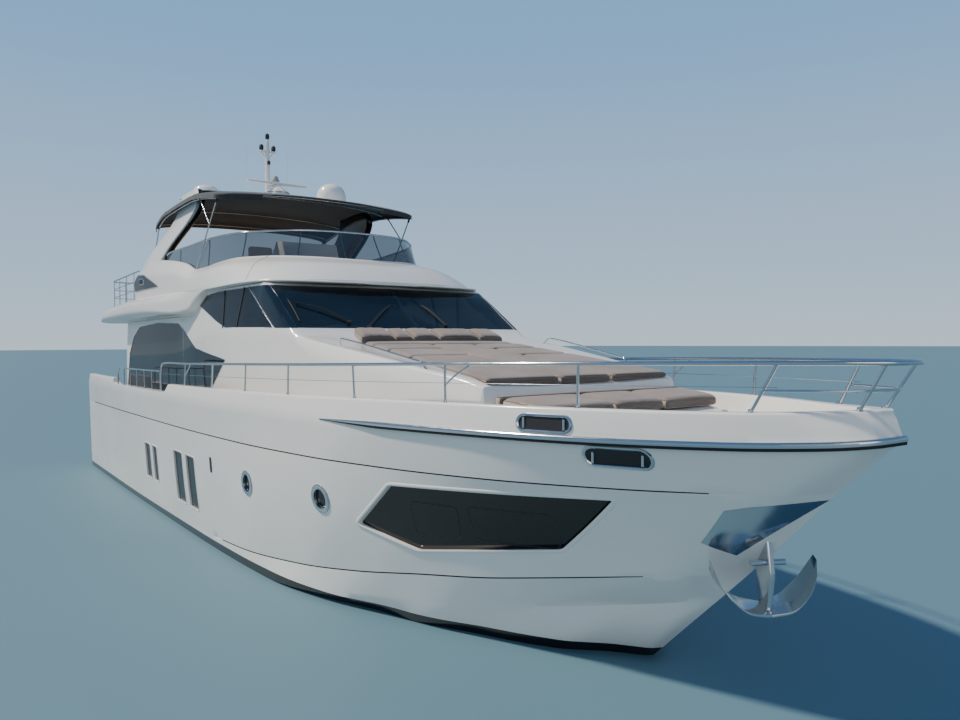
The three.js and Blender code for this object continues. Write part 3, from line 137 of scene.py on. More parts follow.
def add_floor():
    bpy.ops.mesh.primitive_plane_add(size=FLOOR_SIZE, location=(0, 0, WATERLINE))
    floor = bpy.context.object
    floor.name = "floor"
    material, _, shader = new_material("blue-grey studio floor")
    set_up(shader, {"Base Color": linear("#5d7f8e"), "Roughness": 0.55})
    floor.data.materials.append(material)


# Materials

def linear(hex_colour):
    """An sRGB hex colour as linear red, green, blue and alpha."""
    out = []
    for i in (1, 3, 5):
        c = int(hex_colour[i:i + 2], 16) / 255
        out.append(c / 12.92 if c <= 0.04045 else ((c + 0.055) / 1.055) ** 2.4)
    return (*out, 1.0)


def new_material(name):
    material = bpy.data.materials.new(name)
    material.use_nodes = True
    return material, material.node_tree, material.node_tree.nodes["Principled BSDF"]


def set_up(node, settings, links=None):
    """Settings named in small letters are the node's own; others, like numbers and links, are its inputs."""
    for key, value in settings.items():
        if key == "stops":
            fill_ramp(node, value)
        elif isinstance(key, str) and key[0].islower():
            setattr(node, key, value)
        else:
            node.inputs[key].default_value = value
    for key, source in (links or {}).items():
        node.id_data.links.new(source, node.inputs[key])
    return node


def add_node(tree, kind, settings=None, links=None):
    return set_up(tree.nodes.new(kind), settings or {}, links)


def fill_ramp(ramp, stops):
    elements = ramp.color_ramp.elements
    while len(elements) < len(stops):
        elements.new(0.5)
    for element, (position, colour) in zip(elements, stops):
        element.position = position
        element.color = linear(colour)


def object_place(tree, scale=(1, 1, 1)):
    """The place of a point on its piece, stretched by a scale, for patterns to read."""
    place = add_node(tree, "ShaderNodeTexCoord")
    mapping = add_node(tree, "ShaderNodeMapping", {"Scale": scale}, {"Vector": place.outputs["Object"]})
    return mapping.outputs[0]


def gelcoat(name, below=None):
    """Moulded polyester gelcoat: glossy, with the faint long waves of a laminate and a film of salt."""
    material, tree, shader = new_material(name)
    place = object_place(tree, (0.35, 0.35, 0.8))
    film = add_node(tree, "ShaderNodeTexNoise", {"Scale": 1.6, "Detail": 4}, {"Vector": place})
    stops = ((0.3, "#eceae5"), (0.75, "#f3f1ec"))
    tint = add_node(tree, "ShaderNodeValToRGB", {"stops": stops}, {"Fac": film.outputs["Fac"]})
    range_of_gloss = {"To Min": 0.14, "To Max": 0.26}
    gloss = add_node(tree, "ShaderNodeMapRange", range_of_gloss, {"Value": film.outputs["Fac"]})
    waves = add_node(tree, "ShaderNodeTexNoise", {"Scale": 2.2, "Detail": 1}, {"Vector": place})
    relief = {"Distance": 0.004, "Strength": 0.5}
    bump = add_node(tree, "ShaderNodeBump", relief, {"Height": waves.outputs["Fac"]})
    paint = tint.outputs["Color"]
    if below:
        paint = painted_below(tree, paint, *below)
    set_up(
        shader,
        {"IOR": 1.52, "Coat Weight": 0.35, "Coat Roughness": 0.06},
        {"Base Color": paint, "Roughness": gloss.outputs[0], "Normal": bump.outputs["Normal"]},
    )
    return material


def painted_below(tree, paint, edge, colour):
    """A second colour under a height, as antifouling is rolled on up to the boot top."""
    place = add_node(tree, "ShaderNodeTexCoord")
    split = add_node(tree, "ShaderNodeSeparateXYZ", {}, {"Vector": place.outputs["Object"]})
    test = {"operation": "LESS_THAN", 1: edge}
    under = add_node(tree, "ShaderNodeMath", test, {0: split.outputs["Z"]})
    coat = {"data_type": "RGBA", 7: linear(colour)}
    return add_node(tree, "ShaderNodeMix", coat, {0: under.outputs[0], 6: paint}).outputs[2]


def polished_steel(name):
    """Stainless steel 316, electropolished: a bright mirror with a faint haze of salt."""
    material, tree, shader = new_material(name)
    haze = add_node(tree, "ShaderNodeTexNoise", {"Scale": 9, "Detail": 5}, {"Vector": object_place(tree)})
    range_of_gloss = {"To Min": 0.072, "To Max": 0.204}
    gloss = add_node(tree, "ShaderNodeMapRange", range_of_gloss, {"Value": haze.outputs["Fac"]})
    set_up(shader, {"Base Color": linear("#c9ccd0"), "Metallic": 1}, {"Roughness": gloss.outputs[0]})
    return material


def tinted_glass(name, colour, edge, see_through):
    """Toughened float glass, tinted in the melt: dark, mirror-smooth, its tint drifting slowly between two
    close colours.
    """
    material, tree, shader = new_material(name)
    sweep = add_node(tree, "ShaderNodeTexNoise", {"Scale": 0.5, "Detail": 1}, {"Vector": object_place(tree)})
    stops = ((0.35, colour), (0.8, edge))
    tint = add_node(tree, "ShaderNodeValToRGB", {"stops": stops}, {"Fac": sweep.outputs["Fac"]})
    settings = {"Roughness": 0.02, "IOR": 1.52, "Alpha": 1 - see_through}
    set_up(shader, settings, {"Base Color": tint.outputs["Color"]})
    return material


# Metres between the bands of a wave texture whose scale is 1
WAVE_SPACING = 0.314


def woven(name, colour, dark, thread):
    """Woven solution-dyed acrylic: matt, its threads drawn at a spacing that still shows from the quay."""
    material, tree, shader = new_material(name)
    place = object_place(tree)
    threads = []
    for direction in ("X", "Y"):
        settings = {"bands_direction": direction, "Scale": WAVE_SPACING / thread, "Distortion": 0.4}
        wave = add_node(tree, "ShaderNodeTexWave", settings, {"Vector": place})
        threads.append(wave.outputs["Fac"])
    weave = add_node(tree, "ShaderNodeMath", {"operation": "MULTIPLY"}, dict(enumerate(threads)))
    fade = add_node(tree, "ShaderNodeTexNoise", {"Scale": 1.3, "Detail": 3}, {"Vector": place})
    share = {"operation": "MULTIPLY_ADD", 1: 0.35}
    blend = add_node(tree, "ShaderNodeMath", share, {0: weave.outputs[0], 2: fade.outputs["Fac"]})
    stops = ((0.35, dark), (0.85, colour))
    tint = add_node(tree, "ShaderNodeValToRGB", {"stops": stops}, {"Fac": blend.outputs[0]})
    relief = {"Distance": 0.0006, "Strength": 1.0}
    bump = add_node(tree, "ShaderNodeBump", relief, {"Height": weave.outputs[0]})
    set_up(
        shader,
        {"Roughness": 0.85, "Sheen Weight": 0.3, "Sheen Roughness": 0.5},
        {"Base Color": tint.outputs["Color"], "Normal": bump.outputs["Normal"]},
    )
    return material


def plain_finish(name, colour, second, rough, grain, depth=0.0005, metal=0.0):
    """A painted, moulded or cast surface: two close colours in a fine grain of the given size."""
    material, tree, shader = new_material(name)
    settings = {"Scale": 1 / grain, "Detail": 4}
    speckle = add_node(tree, "ShaderNodeTexNoise", settings, {"Vector": object_place(tree)})
    stops = ((0.3, colour), (0.7, second))
    tint = add_node(tree, "ShaderNodeValToRGB", {"stops": stops}, {"Fac": speckle.outputs["Fac"]})
    relief = {"Distance": depth, "Strength": 1.0}
    bump = add_node(tree, "ShaderNodeBump", relief, {"Height": speckle.outputs["Fac"]})
    set_up(
        shader,
        {"Roughness": rough, "Metallic": metal},
        {"Base Color": tint.outputs["Color"], "Normal": bump.outputs["Normal"]},
    )
    return material


def laid_teak(name):
    """Teak decking: 55 mm planks laid fore and aft, with black caulking between them."""
    material, tree, shader = new_material(name)
    planks = {
        "Color1": linear("#a98257"),
        "Color2": linear("#b89268"),
        "Mortar": linear("#17130f"),
        "Scale": 1.0,
        "Mortar Size": 0.004,
        "Brick Width": 2.4,
        "Row Height": 0.055,
    }
    plank = add_node(tree, "ShaderNodeTexBrick", planks, {"Vector": object_place(tree)})
    stretched = object_place(tree, (2, 60, 60))
    grain = add_node(tree, "ShaderNodeTexNoise", {"Scale": 3, "Detail": 6}, {"Vector": stretched})
    mix = add_node(
        tree,
        "ShaderNodeMix",
        {"data_type": "RGBA", "blend_type": "MULTIPLY", 0: 0.35},
        {6: plank.outputs["Color"], 7: grain.outputs["Color"]},
    )
    relief = {"Distance": -0.001, "Strength": 1.0}
    bump = add_node(tree, "ShaderNodeBump", relief, {"Height": plank.outputs["Fac"]})
    set_up(shader, {"Roughness": 0.62}, {"Base Color": mix.outputs[2], "Normal": bump.outputs["Normal"]})
    return material


# Finishes. Glass rows: colour, second colour that its tint drifts to, share of light let through
HULL_PAINT = gelcoat("white hull gelcoat", below=(BOOT_TOP, "#101114"))
WHITE = gelcoat("white deck gelcoat")
STEEL = polished_steel("polished stainless steel")
GLASS = tinted_glass("navy tinted glass", "#131d27", "#0c1218", 0.32)
SALOON_GLASS = tinted_glass("grey-blue tinted glass", "#24323d", "#141c23", 0.3)
HULL_GLASS = tinted_glass("black tinted glass", "#07090c", "#0d1114", 0.0)
SMOKED = tinted_glass("smoked acrylic", "#3c4752", "#2b343d", 0.5)
CANVAS = woven("charcoal acrylic canvas", "#34363b", "#1d1e22", 0.006)
TAUPE = woven("taupe outdoor weave", "#9b8d83", "#7d7068", 0.005)
BEIGE = woven("beige outdoor weave", "#c3b6a6", "#a99a89", 0.005)
# Dark taupe weave: painted shade on the front faces of the sunpads, and the colour of their piping
PAD_SHADE_AND_PIPING = woven("dark taupe outdoor weave", "#6f655e", "#554c47", 0.005)
TEAK = laid_teak("laid teak")
BRONZE = plain_finish("cast manganese bronze", "#b08d57", "#8d6c3d", 0.32, 0.02, 0.0004, 1.0)
DARK = plain_finish("black grained trim", "#1d1e21", "#2a2b2e", 0.55, 0.004)
PILLAR_GLASS = tinted_glass("navy bonded glass", "#131e29", "#0d141b", 0.0)
SEAM = plain_finish("grey sealant", "#8f9294", "#7c7f82", 0.7, 0.01)
# Black painted shade for the arch's legs, on their faces that look ahead and inwards
ARCH_PAINTED_SHADE = plain_finish("black painted shade", "#0e0f12", "#121318", 0.14, 0.05, 0.00005)
MAST_WHITE = plain_finish("white powder coat", "#e9e8e4", "#dedcd7", 0.35, 0.01, 0.0001)
GREY = plain_finish("grey moulded plastic", "#9da1a4", "#8a8e92", 0.5, 0.006)
RUBBER = plain_finish("black rubber", "#0f0f10", "#1a1a1b", 0.7, 0.006)
LEATHER = plain_finish("pale grained leather", "#cfc4b4", "#bcb09f", 0.5, 0.006, 0.001)
# Finish of the nodes that keep the form of their solids, by slot
FINISH_OF_SLOT = {
    "gelcoat": WHITE,
    "steel": STEEL,
    "glass": GLASS,
    "smoked": SMOKED,
    "canvas": CANVAS,
    "vinyl": TAUPE,
    "teak": TEAK,
    "bronze": BRONZE,
    "dark": DARK,
    "leather": LEATHER,
}


# Long lines of the hull, each row: x, half-breadth, height
HULL_AFT = -12.3
HULL_LINES = {
    "keel": (
        (HULL_AFT, 0, -0.75), (-8, 0, -1.01), (-4, 0, -1.25), (0, 0, -1.38), (4, 0, -1.38),
        (6.5, 0, -1.25), (8, 0, -1), (9, 0, -0.64), (9.65, 0, -0.26), (10.02, 0, 0.03),
    ),
    "bottom": (
        (HULL_AFT, 1.5, -0.48), (-4, 1.7, -0.7), (0, 1.8, -0.76), (4, 2, -0.56),
        (6.7, 1.85, -0.15), (8.15, 1.33, 0), (9.04, 0.86, 0), (9.62, 0.4, 0.08), (10, 0.15, 0.11),
        (10.23, 0, 0.24),
    ),
    "lower_chine": (
        (HULL_AFT, 2.8, -0.18), (-4, 2.88, -0.14), (0, 2.88, -0.1), (2, 2.85, -0.06),
        (4, 2.76, 0.01), (5.35, 2.53, 0.1), (6.7, 2.1, 0.24), (7.97, 1.67, 0.43),
        (9.11, 0.99, 0.6), (10.35, 0.34, 0.84), (11, 0, 1),
    ),
    "chine": (
        (HULL_AFT, 2.84, 0.06), (-4, 2.92, 0.13), (0.74, 2.9, 0.23), (2.7, 2.85, 0.3),
        (4.9, 2.64, 0.48), (6.35, 2.34, 0.65), (7.5, 2, 0.82), (8.5, 1.65, 0.95),
        (9.3, 1.31, 1.08), (10, 0.99, 1.2), (10.7, 0.6, 1.31), (11.39, 0, 1.39),
    ),
    "flare": (
        (HULL_AFT, 2.88, 1.1), (0, 3.02, 1.2), (3.2, 2.96, 1.27), (5.6, 2.72, 1.42),
        (7.2, 2.33, 1.56), (8.6, 1.88, 1.68), (9.9, 1.34, 1.8), (10.9, 0.86, 1.88),
        (11.55, 0.43, 1.92), (11.93, 0, 1.95),
    ),
    "knuckle": (
        (HULL_AFT, 2.9, 2.18), (-5.4, 3.06, 2.235), (0, 3.09, 2.27), (3.2, 3.03, 2.3),
        (5.6, 2.83, 2.325), (7.2, 2.5, 2.335), (9.1, 2.01, 2.375), (10.74, 1.37, 2.425),
        (11.45, 0.99, 2.45), (12.05, 0.56, 2.465), (12.42, 0, 2.475),
    ),
    "deck_edge": (
        (HULL_AFT, 2.93, 2.78), (-8, 3.09, 2.85), (0, 3.15, 2.9), (3, 3.1, 2.92), (5, 2.95, 2.93),
        (7, 2.65, 2.935), (9, 2.2, 2.95), (10.5, 1.7, 2.965), (11.8, 1.07, 2.99),
        (12.6, 0.56, 3.03), (12.95, 0.24, 3.07), (13.08, 0, 3.1),
    ),
    "bulwark": (
        (HULL_AFT, 2.91, 3.08), (-8, 3.07, 3.095), (0, 3.11, 3.17), (3.4, 3.04, 3.22),
        (5.6, 2.83, 3.245), (7, 2.6, 3.27), (9, 2.16, 3.3), (10.4, 1.71, 3.315),
        (11.8, 1.03, 3.33), (12.55, 0.53, 3.36), (12.88, 0.21, 3.38), (12.98, 0, 3.385),
    ),
}
# Profile of the transom: x, height
TRANSOM = (
    (-11.75, -2), (-11.75, 0.06), (-11.7, 1.1), (-11.65, 2.18), (-11.45, 2.78), (-11.3, 3.1),
    (-11.25, 4.2),
)
# Deck inside the bulwarks: x, height
DECK = (
    (-11.6, 2.25), (-8.1, 2.25), (-8.099, 2.5), (-1.3, 2.5), (-0.7, 2.78), (6, 2.82), (12.9, 2.96),
)
# Deckhouse: x, half-breadth at the deck, at the belt, belt height, at the eave, eave height, crown height
HOUSE = (
    (-8.05, 2.5, 2.5, 3.7, 2.46, 4.7, 4.7), (-2.6, 2.5, 2.51, 3.9, 2.47, 4.7, 4.7),
    (-0.9, 2.52, 2.57, 4.2, 2.5, 5.12, 5.14), (0, 2.54, 2.61, 4.29, 2.51, 5.16, 5.18),
    (2, 2.56, 2.62, 4.29, 2.49, 5.17, 5.19), (2.84, 2.55, 2.6, 4.28, 2.44, 5.17, 5.19),
    (3.1, 2.545, 2.59, 4.27, 2.46, 5.01, 5.17), (3.75, 2.52, 2.56, 4.24, 2.49, 4.6, 4.7),
    (4.3, 2.49, 2.52, 4.18, 2.48, 4.26, 4.31), (4.45, 2.48, 2.5, 4.08, 2.45, 4.18, 4.2),
    (5, 2.46, 2.47, 3.9, 2.39, 4.08, 3.95), (6, 2.37, 2.37, 3.75, 2.28, 3.94, 3.83),
    (7.6, 2.16, 2.14, 3.5, 2.06, 3.7, 3.62), (8.79, 1.93, 1.9, 3.25, 1.84, 3.48, 3.44),
    (8.85, 1.92, 1.89, 3.1, 1.83, 3.22, 3.16), (9.8, 1.7, 1.68, 3.02, 1.6, 3.11, 3.09),
    (10.05, 1.56, 1.54, 2.98, 1.46, 3, 3.01),
)
# Flybridge deck: x, soffit height, half-breadth, low and high edge of its wing, half-breadth of its flat top,
# floor height
FLY = (
    (-9.45, 4.69, 2.92, 4.7, 4.79, 2.74, 4.8), (-9.2, 4.68, 2.98, 4.7, 4.88, 2.77, 4.93),
    (-8.7, 4.69, 3.02, 4.72, 5.08, 2.8, 5.15), (-7.2, 4.7, 3.03, 4.75, 5.19, 2.8, 5.25),
    (-5.5, 4.7, 3.03, 4.76, 5.25, 2.79, 5.26), (-3.78, 4.7, 3, 4.74, 5.25, 2.76, 5.26),
    (-2.75, 4.7, 2.94, 4.69, 5.25, 2.74, 5.26), (-1.83, 4.7, 2.82, 4.64, 5.245, 2.72, 5.26),
    (-1.1, 4.7, 2.7, 4.7, 5.24, 2.69, 5.26), (-0.6, 4.9, 2.67, 4.96, 5.235, 2.66, 5.26),
    (0.1, 5.15, 2.66, 5.17, 5.235, 2.64, 5.26), (2, 5.18, 2.62, 5.19, 5.235, 2.56, 5.26),
    (2.6, 5.18, 2.54, 5.19, 5.23, 2.48, 5.255), (3, 5.18, 2.3, 5.19, 5.225, 2.2, 5.25),
    (3.25, 5.18, 1.7, 5.19, 5.22, 1.6, 5.24), (3.4, 5.18, 0.7, 5.19, 5.215, 0.6, 5.225),
)
# Flybridge coaming from aft to the middle of its front: foot x and y, rim x, y and height, screen height
COAMING = (
    (-5.56, 2.77, -5.5, 2.68, 6, 0), (-4.66, 2.77, -4.64, 2.64, 6.16, 0),
    (-3.78, 2.75, -3.76, 2.6, 6.15, 0), (-3.1, 2.74, -3.08, 2.58, 6.09, 0.17),
    (-2.4, 2.73, -2.38, 2.56, 6.01, 0.26), (-1.75, 2.71, -1.75, 2.53, 5.9, 0.38),
    (-1.12, 2.69, -1.12, 2.49, 5.725, 0.58), (-0.56, 2.67, -0.6, 2.45, 5.735, 0.59),
    (0.22, 2.66, 0.06, 2.37, 5.79, 0.55), (1.25, 2.62, 0.82, 2.17, 5.84, 0.51),
    (2.15, 2.52, 1.42, 1.8, 5.84, 0.51), (2.82, 2.24, 1.9, 1.37, 5.82, 0.53),
    (3.2, 1.62, 2.18, 0.89, 5.8, 0.55), (3.35, 0.82, 2.29, 0.43, 5.785, 0.565),
    (3.39, 0, 2.32, 0, 5.78, 0.57),
)


# Mesh helpers

def follow(rows, column):
    """Monotone cubic through the rows of a table, read in one of its columns."""
    x = [row[0] for row in rows]
    y = [row[column] for row in rows]
    slope = [(y[i + 1] - y[i]) / (x[i + 1] - x[i]) for i in range(len(x) - 1)]
    tangent = [slope[0]]
    for before, after in zip(slope, slope[1:]):
        tangent.append(0 if before * after <= 0 else 2 * before * after / (before + after))
    tangent.append(slope[-1])

    def value(at):
        if at <= x[0]:
            return y[0]
        if at >= x[-1]:
            return y[-1]
        i = 0
        while at > x[i + 1]:
            i += 1
        h = x[i + 1] - x[i]
        t = (at - x[i]) / h
        return (
            y[i] * (1 + 2 * t) * (1 - t) ** 2
            + y[i + 1] * t * t * (3 - 2 * t)
            + tangent[i] * h * t * (1 - t) ** 2
            + tangent[i + 1] * h * t * t * (t - 1)
        )

    return value


def columns_of(rows):
    return [follow(rows, column) for column in range(1, len(rows[0]))]


def straight(rows, at):
    """Straight lines through the rows of a table of places and values."""
    for a, b in zip(rows, rows[1:]):
        if at <= b[0]:
            return a[1] + (b[1] - a[1]) * max(0, (at - a[0]) / (b[0] - a[0]))
    return rows[-1][1]


def spaced(start, end, step):
    """Even places from start to end, no further apart than a step."""
    count = max(1, math.ceil(abs(end - start) / step))
    return [start + (end - start) * i / count for i in range(count + 1)]


def choose(*objects):
    """Selects these objects and no others, the first one active."""
    bpy.ops.object.select_all(action="DESELECT")
    for obj in objects:
        obj.select_set(True)
    bpy.context.view_layer.objects.active = objects[0]


def mesh_piece(name, points, faces, *materials):
    mesh = bpy.data.meshes.new(name)
    mesh.from_pydata([tuple(p) for p in points], [], faces)
    obj = bpy.data.objects.new(name, mesh)
    bpy.context.scene.collection.objects.link(obj)
    for material in materials:
        mesh.materials.append(material)
    return obj


def merge_and_face_out(obj, distance=0.0002):
    bm = bmesh.new()
    bm.from_mesh(obj.data)
    bmesh.ops.remove_doubles(bm, verts=bm.verts, dist=distance)
    bmesh.ops.dissolve_degenerate(bm, edges=bm.edges, dist=distance)
    bmesh.ops.recalc_face_normals(bm, faces=bm.faces)
    bm.to_mesh(obj.data)
    bm.free()
    return obj


def smooth(obj, degrees=30):
    choose(obj)
    bpy.ops.object.shade_smooth_by_angle(angle=math.radians(degrees))
    return obj


def apply_modifiers(obj):
    choose(obj)
    for modifier in list(obj.modifiers):
        bpy.ops.object.modifier_apply(modifier=modifier.name)
    return obj


def combined(obj, operation, *others):
    """obj after an exact boolean with each of the others, which go."""
    for other in others:
        modifier = obj.modifiers.new("shape", "BOOLEAN")
        modifier.operation = operation
        modifier.solver = "EXACT"
        modifier.object = other
        apply_modifiers(obj)
        bpy.data.objects.remove(other)
    return obj


def cut(obj, *others):
    return combined(obj, "DIFFERENCE", *others)


def bevelled(obj, width, segments=2):
    modifier = obj.modifiers.new("edge", "BEVEL")
    modifier.width = width
    modifier.segments = segments
    modifier.limit_method = "ANGLE"
    modifier.angle_limit = math.radians(35)
    return apply_modifiers(obj)


def joined(name, *parts):
    choose(*parts)
    if len(parts) > 1:
        bpy.ops.object.join()
    parts[0].name = name
    return parts[0]


def skin(name, loops, *materials, closed=True, caps=True):
    """A surface through loops of equal length."""
    n = len(loops[0])
    points = [p for loop in loops for p in loop]
    faces = []
    for s in range(len(loops) - 1):
        for i in range(n if closed else n - 1):
            j = (i + 1) % n
            faces.append((s * n + i, s * n + j, (s + 1) * n + j, (s + 1) * n + i))
    if caps:
        last = (len(loops) - 1) * n
        faces.append(tuple(range(n)))
        faces.append(tuple(last + i for i in reversed(range(n))))
    return merge_and_face_out(mesh_piece(name, points, faces, *materials))


def prism(axis, outline, start, end, *materials, name="prism"):
    """A flat outline pushed along an axis, which is the one left out of the outline."""
    place = {"y": lambda p, t: (p[0], t, p[1]), "z": lambda p, t: (p[0], p[1], t)}[axis]
    loops = [[place(p, t) for p in outline] for t in (start, end)]
    return skin(name, loops, *materials)


def block(name, low, high, material, edge):
    """A box with softened edges."""
    bpy.ops.object.select_all(action="DESELECT")
    middle = [(a + b) / 2 for a, b in zip(low, high)]
    size = [b - a for a, b in zip(low, high)]
    bpy.ops.mesh.primitive_cube_add(size=1, location=middle, scale=size)
    obj = bpy.context.object
    obj.name = name
    bpy.ops.object.transform_apply()
    obj.data.materials.append(material)
    return smooth(bevelled(obj, edge, 3), 50)


def tube(name, points, radius, material, rounding=6, sides=5):
    """A round tube through points, which smooth out into one curve."""
    data = bpy.data.curves.new(name, "CURVE")
    data.dimensions = "3D"
    data.bevel_depth = radius
    data.bevel_resolution = sides - 2
    data.use_fill_caps = True
    spline = data.splines.new("POLY")
    path = rounded_path(points, rounding)
    spline.points.add(len(path) - 1)
    for point, place in zip(spline.points, path):
        point.co = (*place, 1)
    obj = bpy.data.objects.new(name, data)
    bpy.context.scene.collection.objects.link(obj)
    choose(obj)
    bpy.ops.object.convert(target="MESH")
    obj = bpy.context.object
    obj.data.materials.clear()
    obj.data.materials.append(material)
    return smooth(merge_and_face_out(obj), 50)


def rounded_path(points, parts):
    """Points of a centripetal Catmull-Rom curve, with some parts to each span; under 2 keeps the corners."""
    path = [Vector(p) for p in points]
    if parts < 2 or len(path) < 3:
        return path
    ends = [path[0] * 2 - path[1], *path, path[-1] * 2 - path[-2]]
    out = []
    for p0, p1, p2, p3 in zip(ends, ends[1:], ends[2:], ends[3:]):
        t1 = (p1 - p0).length ** 0.5
        t2 = t1 + (p2 - p1).length ** 0.5
        t3 = t2 + (p3 - p2).length ** 0.5
        for k in range(parts):
            t = t1 + (t2 - t1) * k / parts
            a1 = p0 * ((t1 - t) / t1) + p1 * (t / t1)
            a2 = p1 * ((t2 - t) / (t2 - t1)) + p2 * ((t - t1) / (t2 - t1))
            a3 = p2 * ((t3 - t) / (t3 - t2)) + p3 * ((t - t2) / (t3 - t2))
            b1 = a1 * ((t2 - t) / t2) + a2 * (t / t2)
            b2 = a2 * ((t3 - t) / (t3 - t1)) + a3 * ((t - t1) / (t3 - t1))
            out.append(b1 * ((t2 - t) / (t2 - t1)) + b2 * ((t - t1) / (t2 - t1)))
    return [*out, path[-1]]


def round_corners(points, radius, parts=4, closed=False):
    """The same path with its corners rounded off; radius is one number, or one for each point."""
    path = [Vector(p) for p in points]
    n = len(path)
    radii = [radius] * n if isinstance(radius, (int, float)) else radius
    out = []
    for i, corner in enumerate(path):
        if radii[i] == 0 or (not closed and i in (0, n - 1)):
            out.append(corner)
            continue
        before = path[i - 1] - corner
        after = path[(i + 1) % n] - corner
        reach = min(radii[i], before.length * 0.45, after.length * 0.45)
        start = corner + before.normalized() * reach
        end = corner + after.normalized() * reach
        for k in range(parts + 1):
            t = k / parts
            out.append(start * (1 - t) ** 2 + corner * 2 * t * (1 - t) + end * t**2)
    return out


def turned(name, profile, centre, material, sides=48):
    """A solid of revolution about z through centre, its profile rows: radius, height above centre."""
    chain = [(centre[0] + radius, centre[1], centre[2] + height) for radius, height in profile]
    obj = mesh_piece(name, chain, [], material)
    obj.data.edges.add(len(chain) - 1)
    for k, edge in enumerate(obj.data.edges):
        edge.vertices = (k, k + 1)
    choose(obj)
    bpy.ops.object.mode_set(mode="EDIT")
    bpy.ops.mesh.select_all(action="SELECT")
    bpy.ops.mesh.spin(steps=sides, angle=2 * math.pi, center=centre, axis=(0, 0, 1))
    bpy.ops.object.mode_set(mode="OBJECT")
    return smooth(merge_and_face_out(obj), 35)


def both_sides(half):
    """A loop from its port half, whose points run from the centreline out."""
    half = [Vector(p) for p in half]
    return [*half, *[Vector((p.x, -p.y, p.z)) for p in reversed(half)]]


def surface_of(obj):
    """The faces of a piece, for rays to hit."""
    bm = bmesh.new()
    bm.from_mesh(obj.data)
    tree = BVHTree.FromBMesh(bm)
    bm.free()
    return tree


REPLACED = set()


def finish_piece(obj, node, replaces=False):
    """Rides on its node's body, and may stand for the node."""
    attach(obj, BODY_OF.get(node, "root"))
    if replaces:
        stand_for(node)
    return obj


def stand_for(node):
    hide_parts(node)
    REPLACED.add(node)


# CAD nodes whose form is right, with softened edges
DRESSED_MERGE = 0.0003
DRESSED_EDGE = 0.006
FLAT_WITHIN = math.radians(0.5)


def dressed_copy(node, material):
    """A merged copy of a CAD node with softened edges, which stands for it."""
    obj = bpy.data.objects.new(node + "_dressed", NODES[node].data.copy())
    bpy.context.scene.collection.objects.link(obj)
    obj.data.materials.clear()
    obj.data.materials.append(material)
    bm = bmesh.new()
    bm.from_mesh(obj.data)
    bmesh.ops.remove_doubles(bm, verts=bm.verts, dist=DRESSED_MERGE)
    bmesh.ops.dissolve_limit(
        bm, angle_limit=FLAT_WITHIN, verts=bm.verts, edges=bm.edges, use_dissolve_boundaries=False
    )
    bm.to_mesh(obj.data)
    bm.free()
    finish_piece(smooth(bevelled(obj, DRESSED_EDGE)), node, replaces=True)


# Hull

# Curves of a section from the keel up, each row: the long lines that it runs through, parts
SECTION_GROUPS = (
    (("keel", "bottom", "lower_chine"), 10),
    (("lower_chine", "chine"), 5),
    (("chine", "flare", "knuckle"), 12),
    (("knuckle", "deck_edge"), 5),
    (("deck_edge", "bulwark"), 3),
)
# Grooves in the topsides, each along a long line: x from and to
GROOVES = {
    "chine": (1.3, 10.9),
    "knuckle": (-11.0, 12.0),
}
GROOVE_WIDTH = 0.013
GROOVE_DEPTH = 0.012
# Lengths over which a groove fades out, aft and ahead, and where the black painted shade in it stops before
# that
GROOVE_FADE = (0.4, 0.8)
GROOVE_PAINTED_SHADE = (0.3, 0.5)
STATIONS = 170
# How much the stations crowd towards the stem
CROWDING = 1.4
# Rounding of the top of the bulwarks
CAP_RADIUS = 0.035

# A height over the whole hull and a place aft of it, where what is cut out of it ends
ABOVE = 4
ABAFT = -13
# Spaces cut out of the hull, in metres
WELL_END = 12.74
WELL_FLOOR_END = 12.85
# How the bulwarks grow thicker to the stem
WELL_TAPER = {"x": 11, "length": 1.74, "depth": 0.15}
LOW_BULWARK = ((-7.15, 3.4), (-6.95, 2.93), (-1.35, 2.96), (-0.9, 3.4))
GARAGE = {"x1": -9.3, "half_width": 1.35, "z0": 0.62, "z1": 1.88}
STERN_STEPS = {"count": 7, "run": 0.25, "x": -11.62, "y0": 1.56, "y1": 2.56, "z0": 0.48, "top": 2.25}
LOCKER = {"x0": 10.95, "x1": 11.5, "half_width": 0.28, "depth": 0.35}
HULL_WINDOW = ((6.6, 1.435), (7.38, 2.095), (10.56, 2.27), (9.68, 1.518), (7.6, 1.195))
WINDOW_RECESS = 0.08
WINDOW_CORNER = 0.05
PANE_DEPTH = 0.055
CABIN_PANE = {"depth": 0.034, "back": 0.06, "recess": 0.1, "corner": 0.06}
PORTHOLE_RECESS = 0.07

# Small windows in the topsides, each row: x from and to, z from and to
CABIN_WINDOWS = (
    (-3.70, -3.15, 0.77, 1.61),
    (-2.92, -2.50, 0.77, 1.61),
    (-0.98, -0.32, 0.62, 1.72),
    (-0.05, 0.55, 0.62, 1.72),
)
PORTHOLES = ((3.43, 1.615), (5.855, 1.70))
PORTHOLE_RADIUS = 0.17

QUARTER_TURN = [math.pi / 2 * k / 4 for k in range(5)]

hull_column = {name: (follow(rows, 1), follow(rows, 2)) for name, rows in HULL_LINES.items()}
bulwark_y, bulwark_z = hull_column["bulwark"]
deck_edge_y, deck_edge_z = hull_column["deck_edge"]


def transom_x(height):
    """Where the transom stands at a height."""
    for (x0, z0), (x1, z1) in zip(TRANSOM, TRANSOM[1:]):
        if height <= z1:
            return x0 + (x1 - x0) * (height - z0) / (z1 - z0)
    return TRANSOM[-1][0]


def hull_point(name, share):
    """Point of a long line at a share of its length from the transom."""
    rows = HULL_LINES[name]
    start = transom_x(rows[0][2])
    x = start + (rows[-1][0] - start) * share
    y, z = hull_column[name]
    return Vector((x, max(0, y(x)), z(x)))


